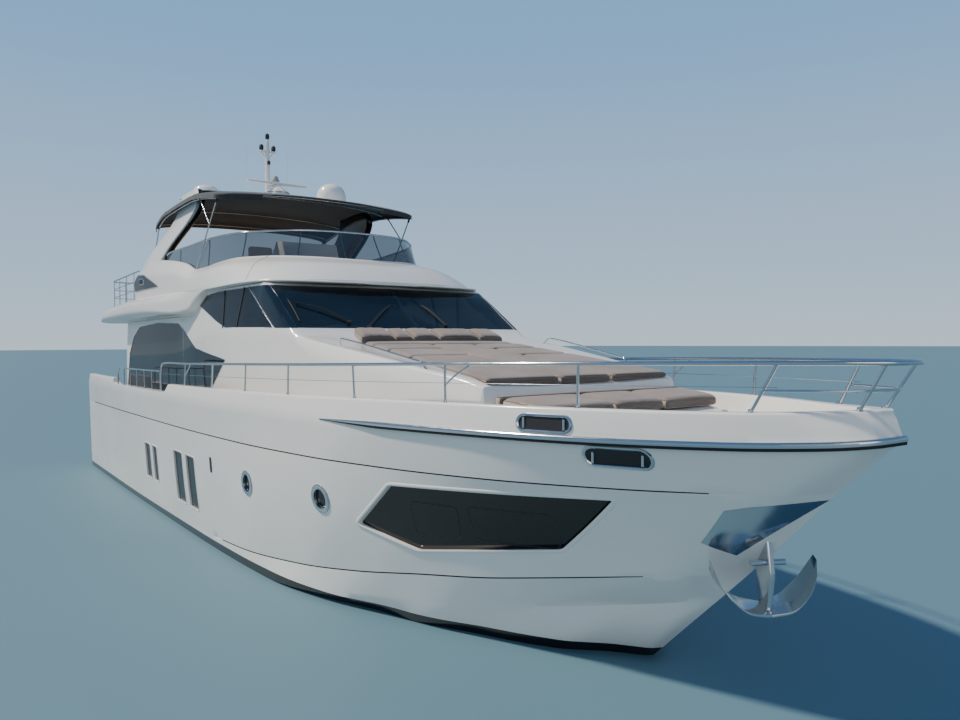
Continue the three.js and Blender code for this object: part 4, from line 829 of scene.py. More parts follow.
def curve_through(ends, t):
    """Point at a share of the line, or of the parabola, through two or three points."""
    if len(ends) == 2:
        return ends[0].lerp(ends[1], t)
    first = (ends[1] - ends[0]).length
    middle = first / max(1e-6, first + (ends[2] - ends[1]).length)
    middle = min(0.8, max(0.2, middle))
    a = (t - middle) * (t - 1) / middle
    b = t * (t - 1) / (middle * (middle - 1))
    c = t * (t - middle) / (1 - middle)
    return ends[0] * a + ends[1] * b + ends[2] * c


def hull_half_section(share):
    """Points from the keel to the top of the bulwark, and the places of the grooves among them."""
    points = []
    grooves = []
    for names, parts in SECTION_GROUPS:
        ends = [hull_point(name, share) for name in names]
        if points and names[0] in GROOVES:
            grooves.append((names[0], len(points) - 1))
        for k in range(0 if not points else 1, parts + 1):
            points.append(curve_through(ends, k / parts))
    for name, at in reversed(grooves):
        low, high = GROOVES[name]
        here = points[at]
        fade = max(0, min(1, (here.x - low) / GROOVE_FADE[0], (high - here.x) / GROOVE_FADE[1]))
        down = (points[at - 1] - here).normalized()
        up = (points[at + 1] - here).normalized()
        points[at:at + 1] = [
            here + down * GROOVE_WIDTH * (0.3 + 0.7 * fade),
            here + Vector((0, -GROOVE_DEPTH * fade, 0)),
            here + up * GROOVE_WIDTH * (0.3 + 0.7 * fade),
        ]
    top = points.pop()
    for a in QUARTER_TURN:
        y = top.y + CAP_RADIUS * (math.cos(a) - 1)
        points.append(Vector((top.x, y, top.z + CAP_RADIUS * (math.sin(a) - 1))))
    for point in points:
        point.y = max(0, point.y)
    return points, [at + 2 * i for i, (_, at) in enumerate(grooves)]


def hull_form():
    """The whole closed hull, before anything is cut out of it, with black painted shade in its grooves."""
    sections = [hull_half_section(1 - (1 - i / STATIONS) ** CROWDING) for i in range(STATIONS + 1)]
    loops = [both_sides(half) for half, _ in sections]
    grooves = sections[0][1]
    n = len(loops[0])
    points = [p for loop in loops for p in loop]
    faces = []
    dark = []
    for s in range(STATIONS):
        for i in range(n):
            j = (i + 1) % n
            faces.append((s * n + i, s * n + j, (s + 1) * n + j, (s + 1) * n + i))
            row = i if i < n // 2 else n - 2 - i
            x = points[s * n + i].x
            deep = [
                low + GROOVE_PAINTED_SHADE[0] < x < high - GROOVE_PAINTED_SHADE[1]
                for (low, high), at in zip(GROOVES.values(), grooves)
                if row in (at, at + 1)
            ]
            dark.append(any(deep))
    for i in range(n // 2 - 1):
        faces.append((i, i + 1, n - 2 - i, n - 1 - i))
        dark.append(False)
    # Faces in the grooves take the black rubber finish as painted shade for their crease
    obj = mesh_piece("hull_form", points, faces, HULL_PAINT, RUBBER, WHITE)
    for face, is_groove_shade in zip(obj.data.polygons, dark):
        face.material_index = 1 if is_groove_shade else 0
    return merge_and_face_out(obj)


def deck_level(x):
    return straight(DECK, x)


def well_half_breadth(x):
    aft = WELL_TAPER["x"]
    taper = WELL_TAPER["depth"] * ((x - aft) / WELL_TAPER["length"]) ** 2 if x > aft else 0
    return max(0.04, min(bulwark_y(x), deck_edge_y(x)) - BULWARK_WALL - taper)


def deck_well():
    """The space inside the bulwarks, which opens out at the top to round their inner edge."""
    loops = []
    stations = [
        HULL_AFT - 0.3,
        *spaced(-11.6, -8.1, 0.35),
        *spaced(-8.099, WELL_TAPER["x"], 0.2),
        *spaced(11.05, WELL_END, 0.08),
    ]
    for x in stations:
        y = well_half_breadth(x)
        z = deck_level(min(x, WELL_FLOOR_END))
        rim = bulwark_z(x) - CAP_RADIUS
        half = [(x, 0, z), (x, y - 0.04, z), (x, y - 0.012, z + 0.012), (x, y, z + 0.04)]
        for a in QUARTER_TURN:
            half.append((x, y + CAP_RADIUS * (1 - math.cos(a)), rim + CAP_RADIUS * math.sin(a) + 0.001))
        half.append((x, y + CAP_RADIUS, ABOVE))
        half.append((x, 0, ABOVE))
        loops.append(both_sides(half))
    return skin("deck_well", loops, WHITE)


def stern_steps(sign):
    rise = (STERN_STEPS["top"] - STERN_STEPS["z0"]) / STERN_STEPS["count"]
    outline = [(ABAFT, ABOVE), (ABAFT, STERN_STEPS["z0"])]
    x = STERN_STEPS["x"]
    z = STERN_STEPS["z0"]
    for _ in range(STERN_STEPS["count"]):
        outline.append((x, z))
        z += rise
        outline.append((x, z))
        x += STERN_STEPS["run"]
    outline += [(x, STERN_STEPS["top"]), (x, ABOVE)]
    return prism("y", outline, STERN_STEPS["y0"] * sign, STERN_STEPS["y1"] * sign, WHITE)


def on_hull(x, z, sign, out=0.0):
    """Point of the topsides at x and z, moved out sideways."""
    hit, _, _, _ = HULL_SURFACE.ray_cast(Vector((x, 6 * sign, z)), Vector((0, -sign, 0)))
    y = abs(hit.y) if hit else 0.0
    return Vector((x, (y + out) * sign, z))


def rectangle(x0, x1, z0, z1):
    return ((x0, z0), (x1, z0), (x1, z1), (x0, z1))


def flat_path(outline, radius, parts=4):
    """A closed outline in x and z, its corners rounded."""
    path = [(x, 0, z) for x, z in outline]
    return [(p.x, p.z) for p in round_corners(path, radius, parts, closed=True)]


def circle(x, z, radius):
    sides = 40
    turns = [2 * math.pi * k / sides for k in range(sides)]
    return [(x + radius * math.cos(a), z + radius * math.sin(a)) for a in turns]


def drawn(outline, distance):
    """An outline moved outwards by a distance along every edge, inwards if it is negative."""
    area = sum(a[0] * b[1] - b[0] * a[1] for a, b in zip(outline, [*outline[1:], outline[0]]))
    turning = 1 if area > 0 else -1
    out = []
    n = len(outline)
    for i, p in enumerate(outline):
        before = Vector((p[0] - outline[i - 1][0], p[1] - outline[i - 1][1])).normalized()
        after = Vector((outline[(i + 1) % n][0] - p[0], outline[(i + 1) % n][1] - p[1])).normalized()
        normals = [Vector((t.y, -t.x)) * turning for t in (before, after)]
        miter = (normals[0] + normals[1]) * (distance / (1 + normals[0].dot(normals[1])))
        out.append((p[0] + miter.x, p[1] + miter.y))
    return out


def between_edges(outline, x):
    """Lowest and highest z of an outline at x."""
    heights = []
    for (x0, z0), (x1, z1) in zip(outline, [*outline[1:], outline[0]]):
        if min(x0, x1) - 1e-9 <= x <= max(x0, x1) + 1e-9:
            if abs(x1 - x0) < 1e-9:
                heights += [z0, z1]
            else:
                heights.append(z0 + (z1 - z0) * (x - x0) / (x1 - x0))
    return min(heights), max(heights)


def patch(name, outline, near, far, sign, material, step=0.12, rows=6, place=on_hull):
    """A plate that follows a surface inside an outline, between two depths measured sideways."""
    low = min(x for x, _ in outline)
    high = max(x for x, _ in outline)
    xs = sorted({*spaced(low, high, step), *(x for x, _ in outline)})
    loops = []
    for x in xs:
        bottom, top = between_edges(outline, x)
        heights = [bottom + (top - bottom) * k / rows for k in range(rows + 1)]
        loops.append(
            [
                *[place(x, z, sign, near) for z in heights],
                *[place(x, z, sign, far) for z in reversed(heights)],
            ]
        )
    return skin(name, loops, material)


def ring_on_hull(name, outline, profile, sign, material, step=0.1, place=on_hull):
    """A rim round an outline on the topsides, its profile rows: distance outwards in the plane, height."""
    dense = []
    for i, (x, z) in enumerate(outline):
        nx, nz = outline[(i + 1) % len(outline)]
        count = max(1, math.ceil(math.hypot(nx - x, nz - z) / step))
        dense += [(x + (nx - x) * k / count, z + (nz - z) * k / count) for k in range(count)]
    loops = [[place(x, z, sign, out) for x, z in drawn(dense, away)] for away, out in profile]
    return smooth(skin(name, [*loops, loops[0]], material, caps=False), 40)


def rounded_window(row):
    return flat_path(rectangle(*row), CABIN_PANE["corner"], 4)


def hull_cutters():
    garage = prism(
        "y",
        rectangle(ABAFT, GARAGE["x1"], GARAGE["z0"], GARAGE["z1"]),
        -GARAGE["half_width"],
        GARAGE["half_width"],
        WHITE,
    )
    low = prism("y", flat_path(LOW_BULWARK, 0.12, 5), -ABOVE, ABOVE, WHITE)
    x0, half = LOCKER["x0"], LOCKER["half_width"]
    floor = deck_level(x0) - LOCKER["depth"]
    locker = prism("y", rectangle(x0, LOCKER["x1"], floor, ABOVE), -half, half, WHITE)
    cutters = [deck_well(), garage, low, locker, stern_steps(1), stern_steps(-1)]
    out = 0.3
    for _, sign in SIDES:
        window = flat_path(HULL_WINDOW, WINDOW_CORNER)
        cutters.append(patch("recess", window, out, -WINDOW_RECESS, sign, WHITE))
        for row in CABIN_WINDOWS:
            window = rounded_window(row)
            cutters.append(patch("recess", window, out, -CABIN_PANE["recess"], sign, WHITE, rows=3))
        for x, z in PORTHOLES:
            window = circle(x, z, PORTHOLE_RADIUS)
            cutters.append(patch("recess", window, out, -PORTHOLE_RECESS, sign, STEEL, rows=3))
    return cutters


def hull():
    form = cut(HULL_FORM, *hull_cutters())
    form.name = "hull_moulding"
    finish_piece(smooth(merge_and_face_out(form, AFTER_CUT), 32), "hull", replaces=True)


# Closed profiles of rims round openings, each row: distance outwards in their plane, height above the hull
WINDOW_RIM = (
    (-0.002, -0.012), (-0.004, 0.008), (0.006, 0.013), (0.03, 0.013), (0.04, 0.006), (0.044, -0.006),
)
CABIN_WINDOW_RIM = ((-0.004, -0.02), (-0.004, 0.004), (0.004, 0.008), (0.022, 0.008), (0.026, -0.004))
BEZEL = ((-0.022, -0.05), (-0.024, 0.012), (-0.01, 0.024), (0.03, 0.024), (0.052, 0.012), (0.055, -0.004))
BEZEL_SEAL = ((-0.03, -0.05), (-0.03, -0.03), (-0.022, -0.02), (-0.018, -0.05))
PANE_FRAME = (
    (0, -PANE_DEPTH - 0.001), (0, -PANE_DEPTH + 0.003), (0.02, -PANE_DEPTH + 0.003), (0.02, -PANE_DEPTH),
)
# Frames of the cabin windows on the long panes: x from and to
PANE_FRAMES = ((7.62, 8.3), (8.55, 9.62))
ENGINE_VENT = (
    (1.56, 1.56), (1.66, 1.56), (1.67, 1.66), (1.64, 1.71), (1.67, 1.76), (1.66, 1.86), (1.56, 1.86),
    (1.55, 1.76), (1.58, 1.71), (1.55, 1.66),
)


def hull_windows():
    """The long dark panes, with the frames of the cabin windows on them."""
    back = -PANE_DEPTH - GLASS_THICKNESS
    for side, sign in SIDES:
        outline = flat_path(drawn(HULL_WINDOW, -PANE_GAP), WINDOW_CORNER)
        pane = patch("hull_pane_" + side, outline, -PANE_DEPTH, back, sign, HULL_GLASS)
        finish_piece(smooth(pane, 30), "hull_window_" + side, replaces=True)
        opening = flat_path(HULL_WINDOW, WINDOW_CORNER)
        frame = ring_on_hull("hull_window_frame_" + side, opening, WINDOW_RIM, sign, WHITE)
        finish_piece(frame, "hull")
        inner = []
        for x0, x1 in PANE_FRAMES:
            z0 = 1.42 + 0.06 * (x0 - 7.6)
            z1 = 1.9 + 0.05 * (x0 - 7.6)
            outline = flat_path(((x0, z0), (x1, z0 + 0.04), (x1 + 0.1, z1), (x0 + 0.02, z1 - 0.02)), 0.09)
            inner.append(ring_on_hull("frame", outline, PANE_FRAME, sign, DARK))
        finish_piece(joined("cabin_window_frames_" + side, *inner), "hull")


def small_pane(outline, sign):
    return patch("pane", outline, -CABIN_PANE["depth"], -CABIN_PANE["back"], sign, HULL_GLASS, rows=3)


def small_windows():
    gap = 0.002
    for side, sign in SIDES:
        panes = []
        rims = []
        bezels = []
        for row in CABIN_WINDOWS:
            opening = rounded_window(row)
            panes.append(small_pane(drawn(opening, -gap), sign))
            rims.append(ring_on_hull("rim", opening, CABIN_WINDOW_RIM, sign, WHITE))
        for x, z in PORTHOLES:
            opening = circle(x, z, PORTHOLE_RADIUS)
            panes.append(small_pane(circle(x, z, PORTHOLE_RADIUS - gap), sign))
            bezels.append(ring_on_hull("bezel", opening, BEZEL, sign, STEEL))
            bezels.append(ring_on_hull("seal", opening, BEZEL_SEAL, sign, RUBBER))
        finish_piece(smooth(joined("cabin_panes_" + side, *panes), 30), "hull")
        finish_piece(joined("cabin_window_rims_" + side, *rims), "hull")
        finish_piece(joined("porthole_bezels_" + side, *bezels), "hull")
        vent = flat_path(ENGINE_VENT, 0.03, 3)
        grille = patch("engine_vent_" + side, vent, 0.006, -0.02, sign, DARK, rows=3)
        finish_piece(smooth(grille, 30), "hull")


# Deckhouse

# Thickness of the deckhouse's laminate, and how far it stands into the deck
SHELL = 0.07
HOUSE_ROOT = 0.06
SALOON_CORNER = 0.1
HELM_CORNER = 0.06
SALOON_WINDOW = (
    (-7.93, 2.76), (-7.64, 3.79), (-7.18, 4.26), (-6.5, 4.53), (-4.5, 4.6), (-2.6, 4.54),
    (-1.92, 4.33), (-0.92, 3.95), (1.18, 3.72), (0.12, 3.08), (-0.12, 2.9),
)
HELM_WINDOW = (
    (-0.9, 4.94), (-0.56, 5.06), (0.5, 5.13), (2.24, 5.12), (3.6, 4.33), (1.22, 4.37), (0.6, 4.52),
)
WINDSCREEN = {"x0": 2.5, "x1": 4.42, "mullion": 0.03, "bottom": 4.31, "top": 5.12, "half_width": 2.37}
DOORWAY = {"x0": -8.3, "x1": -7.9, "sill": 2.2, "half_width": 0.9, "top": 4.48}
# Dark glass that hides the pillar between the side window and the windscreen, its outline in x and z
PILLAR = ((2.3, 5.12), (3.0, 5.12), (4.4, 4.31), (3.68, 4.32))

house_column = columns_of(HOUSE)


def house_section(x, inset):
    deck_y, belt_y, belt_z, eave_y, eave_z, crown_z = [f(x) for f in house_column]
    base = deck_level(x) - HOUSE_ROOT - (0.1 if inset > 0 else 0)
    half = [
        (x, 0, base),
        (x, deck_y - inset, base),
        (x, belt_y - inset, belt_z),
        (x, eave_y - inset, eave_z - inset),
        (x, eave_y - inset - 0.09, max(eave_z, eave_z + (crown_z - eave_z) * 0.3) + 0.01 - inset),
        (x, (eave_y - inset) * 0.5, eave_z + (crown_z - eave_z) * 0.8 + 0.01 - inset),
        (x, 0, crown_z + 0.01 - inset),
    ]
    return both_sides(round_corners(half, (0, 0, 0.15, 0.05, 0.05, 0.6, 0), 4))


def house_form(inset):
    """The closed form of the deckhouse, drawn in by an inset, or out if it is negative."""
    xs = sorted({*(row[0] for row in HOUSE), *spaced(HOUSE[0][0], HOUSE[-1][0], 0.14)})
    loops = []
    for i, x in enumerate(xs):
        shift = inset if i == 0 else -inset if i == len(xs) - 1 else 0
        loops.append([Vector((p.x + shift, p.y, p.z)) for p in house_section(x, inset)])
    return skin("house_form", loops, WHITE)


def side_prism(outline, sign, inner=1.9):
    return prism("y", outline, inner * sign, 3.3 * sign, WHITE)


def front_prism(y0, y1, grow=0.0):
    w = WINDSCREEN
    outline = rectangle(w["x0"], w["x1"], w["bottom"] - grow, w["top"] + grow)
    return prism("y", outline, y0, y1, WHITE)


# Shells made so far, by their two insets
SHELLS = {}


def house_shell(outer, inner):
    """A thin shell of the deckhouse's form between two insets, made once and copied after that."""
    key = (outer, inner)
    if key not in SHELLS:
        made = cut(house_form(outer), house_form(inner))
        SHELLS[key] = made.data
        SHELLS[key].use_fake_user = True
        bpy.data.objects.remove(made)
    shell = bpy.data.objects.new("shell", SHELLS[key].copy())
    bpy.context.scene.collection.objects.link(shell)
    return shell


def house_pane(name, prisms, outer, inner, material):
    """The part of a thin shell that lies inside a prism."""
    shell = house_shell(outer, inner)
    pane = combined(shell, "INTERSECT", prisms)
    pane.name = name
    pane.data.materials.clear()
    pane.data.materials.append(material)
    for face in pane.data.polygons:
        face.material_index = 0
    return smooth(merge_and_face_out(pane, AFTER_CUT), 30)


def deckhouse():
    body = cut(house_form(0), house_form(SHELL))
    cutters = []
    for _, sign in SIDES:
        cutters.append(side_prism(flat_path(SALOON_WINDOW, SALOON_CORNER), sign))
        cutters.append(side_prism(flat_path(HELM_WINDOW, HELM_CORNER), sign))
        cutters.append(front_prism(WINDSCREEN["mullion"] * sign, WINDSCREEN["half_width"] * sign))
    door = rectangle(DOORWAY["x0"], DOORWAY["x1"], DOORWAY["sill"], DOORWAY["top"])
    cutters.append(prism("y", door, -DOORWAY["half_width"], DOORWAY["half_width"], WHITE))
    body = cut(body, *cutters)
    body.name = "deckhouse_moulding"
    finish_piece(smooth(merge_and_face_out(body, AFTER_CUT), 30), "deckhouse", replaces=True)


def house_glass():
    for side, sign in SIDES:
        saloon = side_prism(flat_path(drawn(SALOON_WINDOW, -PANE_GAP), SALOON_CORNER), sign)
        helm = side_prism(flat_path(drawn(HELM_WINDOW, -PANE_GAP), HELM_CORNER), sign)
        inner = (WINDSCREEN["mullion"] + PANE_GAP) * sign
        outer = (WINDSCREEN["half_width"] - PANE_GAP) * sign
        for name, node, opening, glass in (
            ("saloon_pane_", "saloon_glass_", saloon, SALOON_GLASS),
            ("helm_pane_", "helm_glass_", helm, GLASS),
            ("windscreen_pane_", "windscreen_", front_prism(inner, outer, -PANE_GAP), GLASS),
        ):
            pane = house_pane(name + side, opening, 0.002, GLASS_THICKNESS, glass)
            finish_piece(pane, node + side, replaces=True)
        pillar = side_prism(flat_path(PILLAR, 0.02), sign, 2.375)
        cover = house_pane("pillar_glass_" + side, pillar, -0.005, 0.004, PILLAR_GLASS)
        finish_piece(cover, "deckhouse")
    strip = house_pane("windscreen_mullion", front_prism(-0.045, 0.045), -0.004, 0.004, PILLAR_GLASS)
    finish_piece(strip, "deckhouse")


# Bars across the helm windows, each row: x at the sill, x at the top, half-width
HELM_BARS = ((1.07, 0.93, 0.03), (1.89, 2.03, 0.022), (3.62, 2.26, 0.02))
HELM_BAR_ENDS = (4.36, 5.13)


def helm_window_bars():
    for side, sign in SIDES:
        bars = []
        for low, high, half in HELM_BARS:
            sill, head = HELM_BAR_ENDS
            outline = ((low - half, sill), (low + half, sill), (high + half, head), (high - half, head))
            bars.append(house_pane("bar", side_prism(outline, sign), -0.008, 0.03, DARK))
        finish_piece(joined("helm_window_bars_" + side, *bars), "deckhouse")


def window_trims():
    """Thin bright trims that follow the edges of the side windows."""
    for side, sign in SIDES:
        trims = []
        for outline in (SALOON_WINDOW, HELM_WINDOW):
            path = []
            for x, z in flat_path(outline, 0.06):
                hit, _, _, _ = HOUSE_SURFACE.ray_cast(Vector((x, 4 * sign, z)), Vector((0, -sign, 0)))
                if hit:
                    path.append(hit + Vector((0, 0.002 * sign, 0)))
            trims.append(tube("trim", [*path, path[0]], 0.008, STEEL, 1, 4))
        finish_piece(joined("window_trims_" + side, *trims), "deckhouse")


# Wipers, each row: pivot, elbow and head of the arm, then both ends of the blade, on the plane of the glass
WIPERS = (
    (
        (4.129, -1.358, 4.377), (3.778, -1.734, 4.596), (3.6, -2.1, 4.70),
        (3.335, -2.209, 4.872), (4.08, -2.263, 4.405),
    ),
    (
        (4.272, -1.034, 4.288), (3.898, -0.6, 4.521), (3.525, -0.113, 4.753),
        (3.186, -0.112, 4.965), (4.045, -0.168, 4.429),
    ),
    (
        (4.19, 0.69, 4.339), (3.75, 0.56, 4.612), (3.434, 0.43, 4.81),
        (3.192, 0.415, 4.961), (3.934, 0.51, 4.498),
    ),
)
# How far the arms stand off the glass
WIPER_LIFT = Vector((0.028, 0, 0.045))


def wipers():
    lift = WIPER_LIFT
    parts = []
    for row in WIPERS:
        pivot, elbow, head, top, bottom = (Vector(p) for p in row)
        for shift in (-0.02, 0.02):
            aside = Vector((0, shift, 0))
            path = [pivot + lift + aside, elbow + lift * 1.8 + aside, head + lift * 1.5 + aside * 0.3]
            parts.append(tube("arm", path, 0.009, DARK, 6, 3))
        blade = [top + lift * 0.6, (top + bottom) / 2 + lift * 0.9, bottom + lift * 0.6]
        parts.append(tube("blade", blade, 0.016, RUBBER, 6, 3))
        parts.append(tube("clip", [head + lift * 0.8, head + lift * 1.7], 0.02, DARK, 1, 3))
        parts.append(tube("pivot", [pivot - lift * 0.6, pivot + lift * 1.5], 0.04, DARK, 1, 5))
    finish_piece(joined("windscreen_wipers", *parts), "deckhouse")


# Flybridge moulding

FLY_FLOOR = 5.26
# Breadth of the gutter between the floor and the edge of the moulding
FLY_MARGIN = 0.26
COAMING_WALL = 0.15
# Rings of the coaming to each row of its table
COAMING_PARTS = 6

fly_column = columns_of(FLY)


def fly_section(x):
    soffit, wing_y, low, high, top_y, floor = [f(x) for f in fly_column]
    rise = high - low
    half = [
        (x, 0, soffit),
        (x, wing_y - 0.18, soffit),
        (x, wing_y, low + rise * 0.15),
        (x, wing_y, low + rise * 0.75),
        (x, min(top_y, wing_y - 0.01), high),
        (x, top_y - FLY_MARGIN, floor),
        (x, 0, floor),
    ]
    return both_sides(round_corners(half, (0, 0.06, 0.1, 0.16, 0.06, 0.05, 0), 5))


def coaming_rows():
    """Rows of the coaming from port aft round the front to starboard aft, several to each of its table."""
    rows = [(i, *row) for i, row in enumerate(COAMING)]
    columns = columns_of(rows)
    count = (len(rows) - 1) * COAMING_PARTS
    half = [[f(i / COAMING_PARTS) for f in columns] for i in range(count + 1)]
    other = [[fx, -fy, rx, -ry, *rest] for fx, fy, rx, ry, *rest in half[:-1]]
    return [*half, *reversed(other)]


def inwards(rows, i):
    """Unit vector in plan that points from the rim into the flybridge."""
    a = rows[max(0, i - 1)]
    b = rows[min(len(rows) - 1, i + 1)]
    t = Vector((b[2] - a[2], b[3] - a[3])).normalized()
    return Vector((t.y, -t.x))


def coaming():
    rows = coaming_rows()
    loops = []
    for i, (foot_x, foot_y, rim_x, rim_y, rim_z, _) in enumerate(rows):
        n = inwards(rows, i)
        bulge = 0.14 * (rim_z - FLY_FLOOR)
        inner = (rim_x + n.x * COAMING_WALL, rim_y + n.y * COAMING_WALL)
        section = [
            (foot_x, foot_y, FLY_FLOOR - 0.06),
            (foot_x, foot_y, FLY_FLOOR - 0.02),
            (
                (foot_x + rim_x) / 2 - n.x * bulge,
                (foot_y + rim_y) / 2 - n.y * bulge,
                (FLY_FLOOR + rim_z) / 2 + bulge,
            ),
            (rim_x - n.x * 0.01, rim_y - n.y * 0.01, rim_z - 0.03),
            (rim_x + n.x * 0.025, rim_y + n.y * 0.025, rim_z),
            (*inner, rim_z),
            (*inner, FLY_FLOOR - 0.06),
        ]
        loops.append(round_corners(section, (0, 0.02, 0.3, 0.05, 0.05, 0.03, 0), 4))
    return skin("coaming", loops, WHITE)


def flybridge_moulding():
    xs = sorted({*(row[0] for row in FLY), *spaced(FLY[0][0], FLY[-1][0], 0.15)})
    deck = skin("flybridge_deck", [fly_section(x) for x in xs], WHITE)
    body = combined(deck, "UNION", coaming())
    body = cut(body, house_form(-0.0005))
    body.name = "flybridge_shell"
    finish_piece(smooth(merge_and_face_out(body, AFTER_CUT), 28), "flybridge_moulding", replaces=True)


SCREEN_THICKNESS = 0.012
# How far the screen stands in from the rim, and how much it leans back for its height
SCREEN_IN = 0.05
SCREEN_LEAN = 0.56
SCREEN_RAIL_RADIUS = 0.019
# Rows of the coaming that the screen's joints and posts stand on, counted in its table from aft
SCREEN_JOINTS = (4, 7, 9, 11, 13)
SCREEN_FOOT = ((0, 0), (0.04, 0), (0.038, 0.012), (0, 0.016))


def screen_point(rows, i, share, inset):
    _, _, rim_x, rim_y, rim_z, screen = rows[i]
    n = inwards(rows, i)
    back = SCREEN_IN + inset + screen * share * SCREEN_LEAN * max(0, -n.x)
    return Vector((rim_x + n.x * back, rim_y + n.y * back, rim_z + screen * share - 0.004 * (1 - share)))


def fly_screen():
    rows = coaming_rows()
    shown = [i for i, row in enumerate(rows) if row[5] > 0.1]
    loops = []
    for i in shown:
        corners = rectangle(0, 1, 0, SCREEN_THICKNESS)
        loops.append([screen_point(rows, i, share, inset) for share, inset in corners])
    finish_piece(smooth(skin("smoked_screen", loops, SMOKED), 40), "fly_screen", replaces=True)
    lift = Vector((0, 0, SCREEN_RAIL_RADIUS))
    top = [screen_point(rows, i, 1, SCREEN_THICKNESS / 2) + lift for i in shown]
    parts = [tube("rail", top, SCREEN_RAIL_RADIUS, STEEL, 1)]
    last = len(rows) - 1
    for joint in SCREEN_JOINTS:
        for i in (joint * COAMING_PARTS, last - joint * COAMING_PARTS):
            inset = SCREEN_THICKNESS + 0.03
            foot = screen_point(rows, i, 0, inset)
            head = screen_point(rows, i, 1, inset) + lift
            cap = screen_point(rows, i, 1, SCREEN_THICKNESS / 2) + lift
            parts.append(tube("post", [foot, head * 0.97 + foot * 0.03, cap], 0.013, STEEL, 5))
            parts.append(turned("foot", SCREEN_FOOT, foot, STEEL, 20))
    finish_piece(joined("screen_rail", *parts), "fly_screen_rail", replaces=True)


# Row of the coaming's table where the front of the moulding is joined to its side
SEAM_ROW = 10


def moulding_seams():
    rows = coaming_rows()
    at = SEAM_ROW * COAMING_PARTS
    for side, i in (("port", at), ("starboard", len(rows) - 1 - at)):
        foot_x, foot_y, rim_x, rim_y, rim_z, _ = rows[i]
        foot = Vector((foot_x, foot_y, FLY_FLOOR))
        rise = Vector((rim_x - foot_x, rim_y - foot_y, rim_z - FLY_FLOOR))
        away = Vector((-inwards(rows, i).x, -inwards(rows, i).y, 0.4))
        path = []
        for k in range(13):
            start = foot + rise * (k / 12)
            hit, _, _, _ = FLY_SURFACE.ray_cast(start + away, -away)
            if hit:
                path.append(hit)
        seam = tube("moulding_seam_" + side, path, 0.006, SEAM, 3, 3)
        finish_piece(seam, "flybridge_moulding")


# Radar arch, canvas and what stands on them

# Rings of a leg of the arch from its root up, each row: height, x aft and ahead, half-breadth
ARCH_LEG = (
    (5.2, -5.76, -3.76, 2.62), (5.9, -5.7, -3.75, 2.62), (7.3, -3.3, -1.55, 2.3), (7.69, -3.18, -1.9, 2.23),
)
ARCH_THICKNESS = 0.19
ARCH_PLATFORM = {"x0": -3.7, "x1": -1.86, "half_width": 2.18, "z0": 7.664, "z1": 7.7, "corner": 0.22}
ARCH_HEIGHTS = (5.2, 7.69)
# Faces of a leg by their normals: how far ahead, outwards and inwards they look, for the painted shade on
# them
LOOKS_AHEAD = 0.35
LOOKS_OUT = 0.6
LOOKS_IN = 0.5

arch_column = columns_of(ARCH_LEG)


def arch_ring(z, sign, grow=0.0):
    x0, x1, y = [f(z) for f in arch_column]
    bevel = 0.06
    inner = y - ARCH_THICKNESS - grow
    ring = [
        (x0 - grow, y - bevel, z),
        (x0 + bevel * 2, y + grow, z),
        (x1 - bevel * 2, y + grow, z),
        (x1 + grow, y - bevel, z),
        (x1 - bevel + grow, inner, z),
        (x0 + bevel - grow, inner, z),
    ]
    return round_corners([(x, yy * sign, zz) for x, yy, zz in ring], 0.05, 3, closed=True)


def arch():
    """White outside; the faces that look ahead and inwards painted black as shade, with grey painted
    half-shade between.
    """
    legs = []
    for _, sign in SIDES:
        heights = spaced(*ARCH_HEIGHTS, 0.1)
        leg = skin("leg", [arch_ring(z, sign) for z in heights], WHITE, ARCH_PAINTED_SHADE, GREY)
        # Faces turned ahead or inwards take the black painted shade; those ahead and outwards take the grey
        # painted half-shade
        for face in leg.data.polygons:
            out = face.normal.y * sign
            ahead = face.normal.x > LOOKS_AHEAD
            if out < -LOOKS_IN or (ahead and out < LOOKS_OUT):
                face.material_index = 1
            elif ahead:
                face.material_index = 2
        legs.append(smooth(leg, 35))
    p = ARCH_PLATFORM
    x0, x1, y, c = p["x0"], p["x1"], p["half_width"], p["corner"]
    outline = [
        (x0 + c, -y), (x1 - c, -y), (x1, c - y), (x1, y - c),
        (x1 - c, y), (x0 + c, y), (x0, y - c), (x0, c - y),
    ]
    top = smooth(bevelled(prism("z", outline, p["z0"], p["z1"], WHITE, name="top"), 0.012, 3), 40)
    finish_piece(joined("arch_moulding", *legs, top), "radar_arch", replaces=True)


# Canvas top, each row: x, half-breadth, height at the edge, height on the centreline
CANOPY = (
    (-4.95, 2.38, 7.08, 7.26), (-4.7, 2.44, 7.17, 7.37), (-3.75, 2.47, 7.34, 7.57), (-1.7, 2.47, 7.4, 7.65),
    (-0.5, 2.47, 7.3, 7.52), (0.1, 2.45, 7.21, 7.4), (0.26, 2.3, 7.19, 7.36), (0.36, 1.5, 7.24, 7.34),
)
CANVAS_THICKNESS = 0.008
CANVAS_HEM = 0.07
CANVAS_SAG = 0.022
# Bows of the frame along x, and the radii of its tubes
BOW_X = (-4.7, -3.75, -1.3, 0.1)
BOW_RADIUS = 0.018
STRUT_RADIUS = 0.015
# Struts from the sides of the frame, each row: x of the head, foot x, half-breadth and height
CANOPY_STRUTS = ((0.1, (-1.18, 2.465, 5.69)), (-1.0, (-0.342, 2.409, 6.64)), (-4.7, (-4.88, 2.45, 6.33)))

canopy_column = columns_of(CANOPY)


def canvas_point(x, share):
    """Point of the canvas at x and a signed share of its half-breadth, sagging between the bows."""
    half, edge, crown = [f(x) for f in canopy_column]
    z = edge + (crown - edge) * math.sqrt(max(0, 1 - share**2))
    for a, b in zip(BOW_X, BOW_X[1:]):
        if a < x < b:
            z -= CANVAS_SAG * math.sin(math.pi * (x - a) / (b - a)) ** 2 * (1 - share**2)
    return Vector((x, half * share, z))


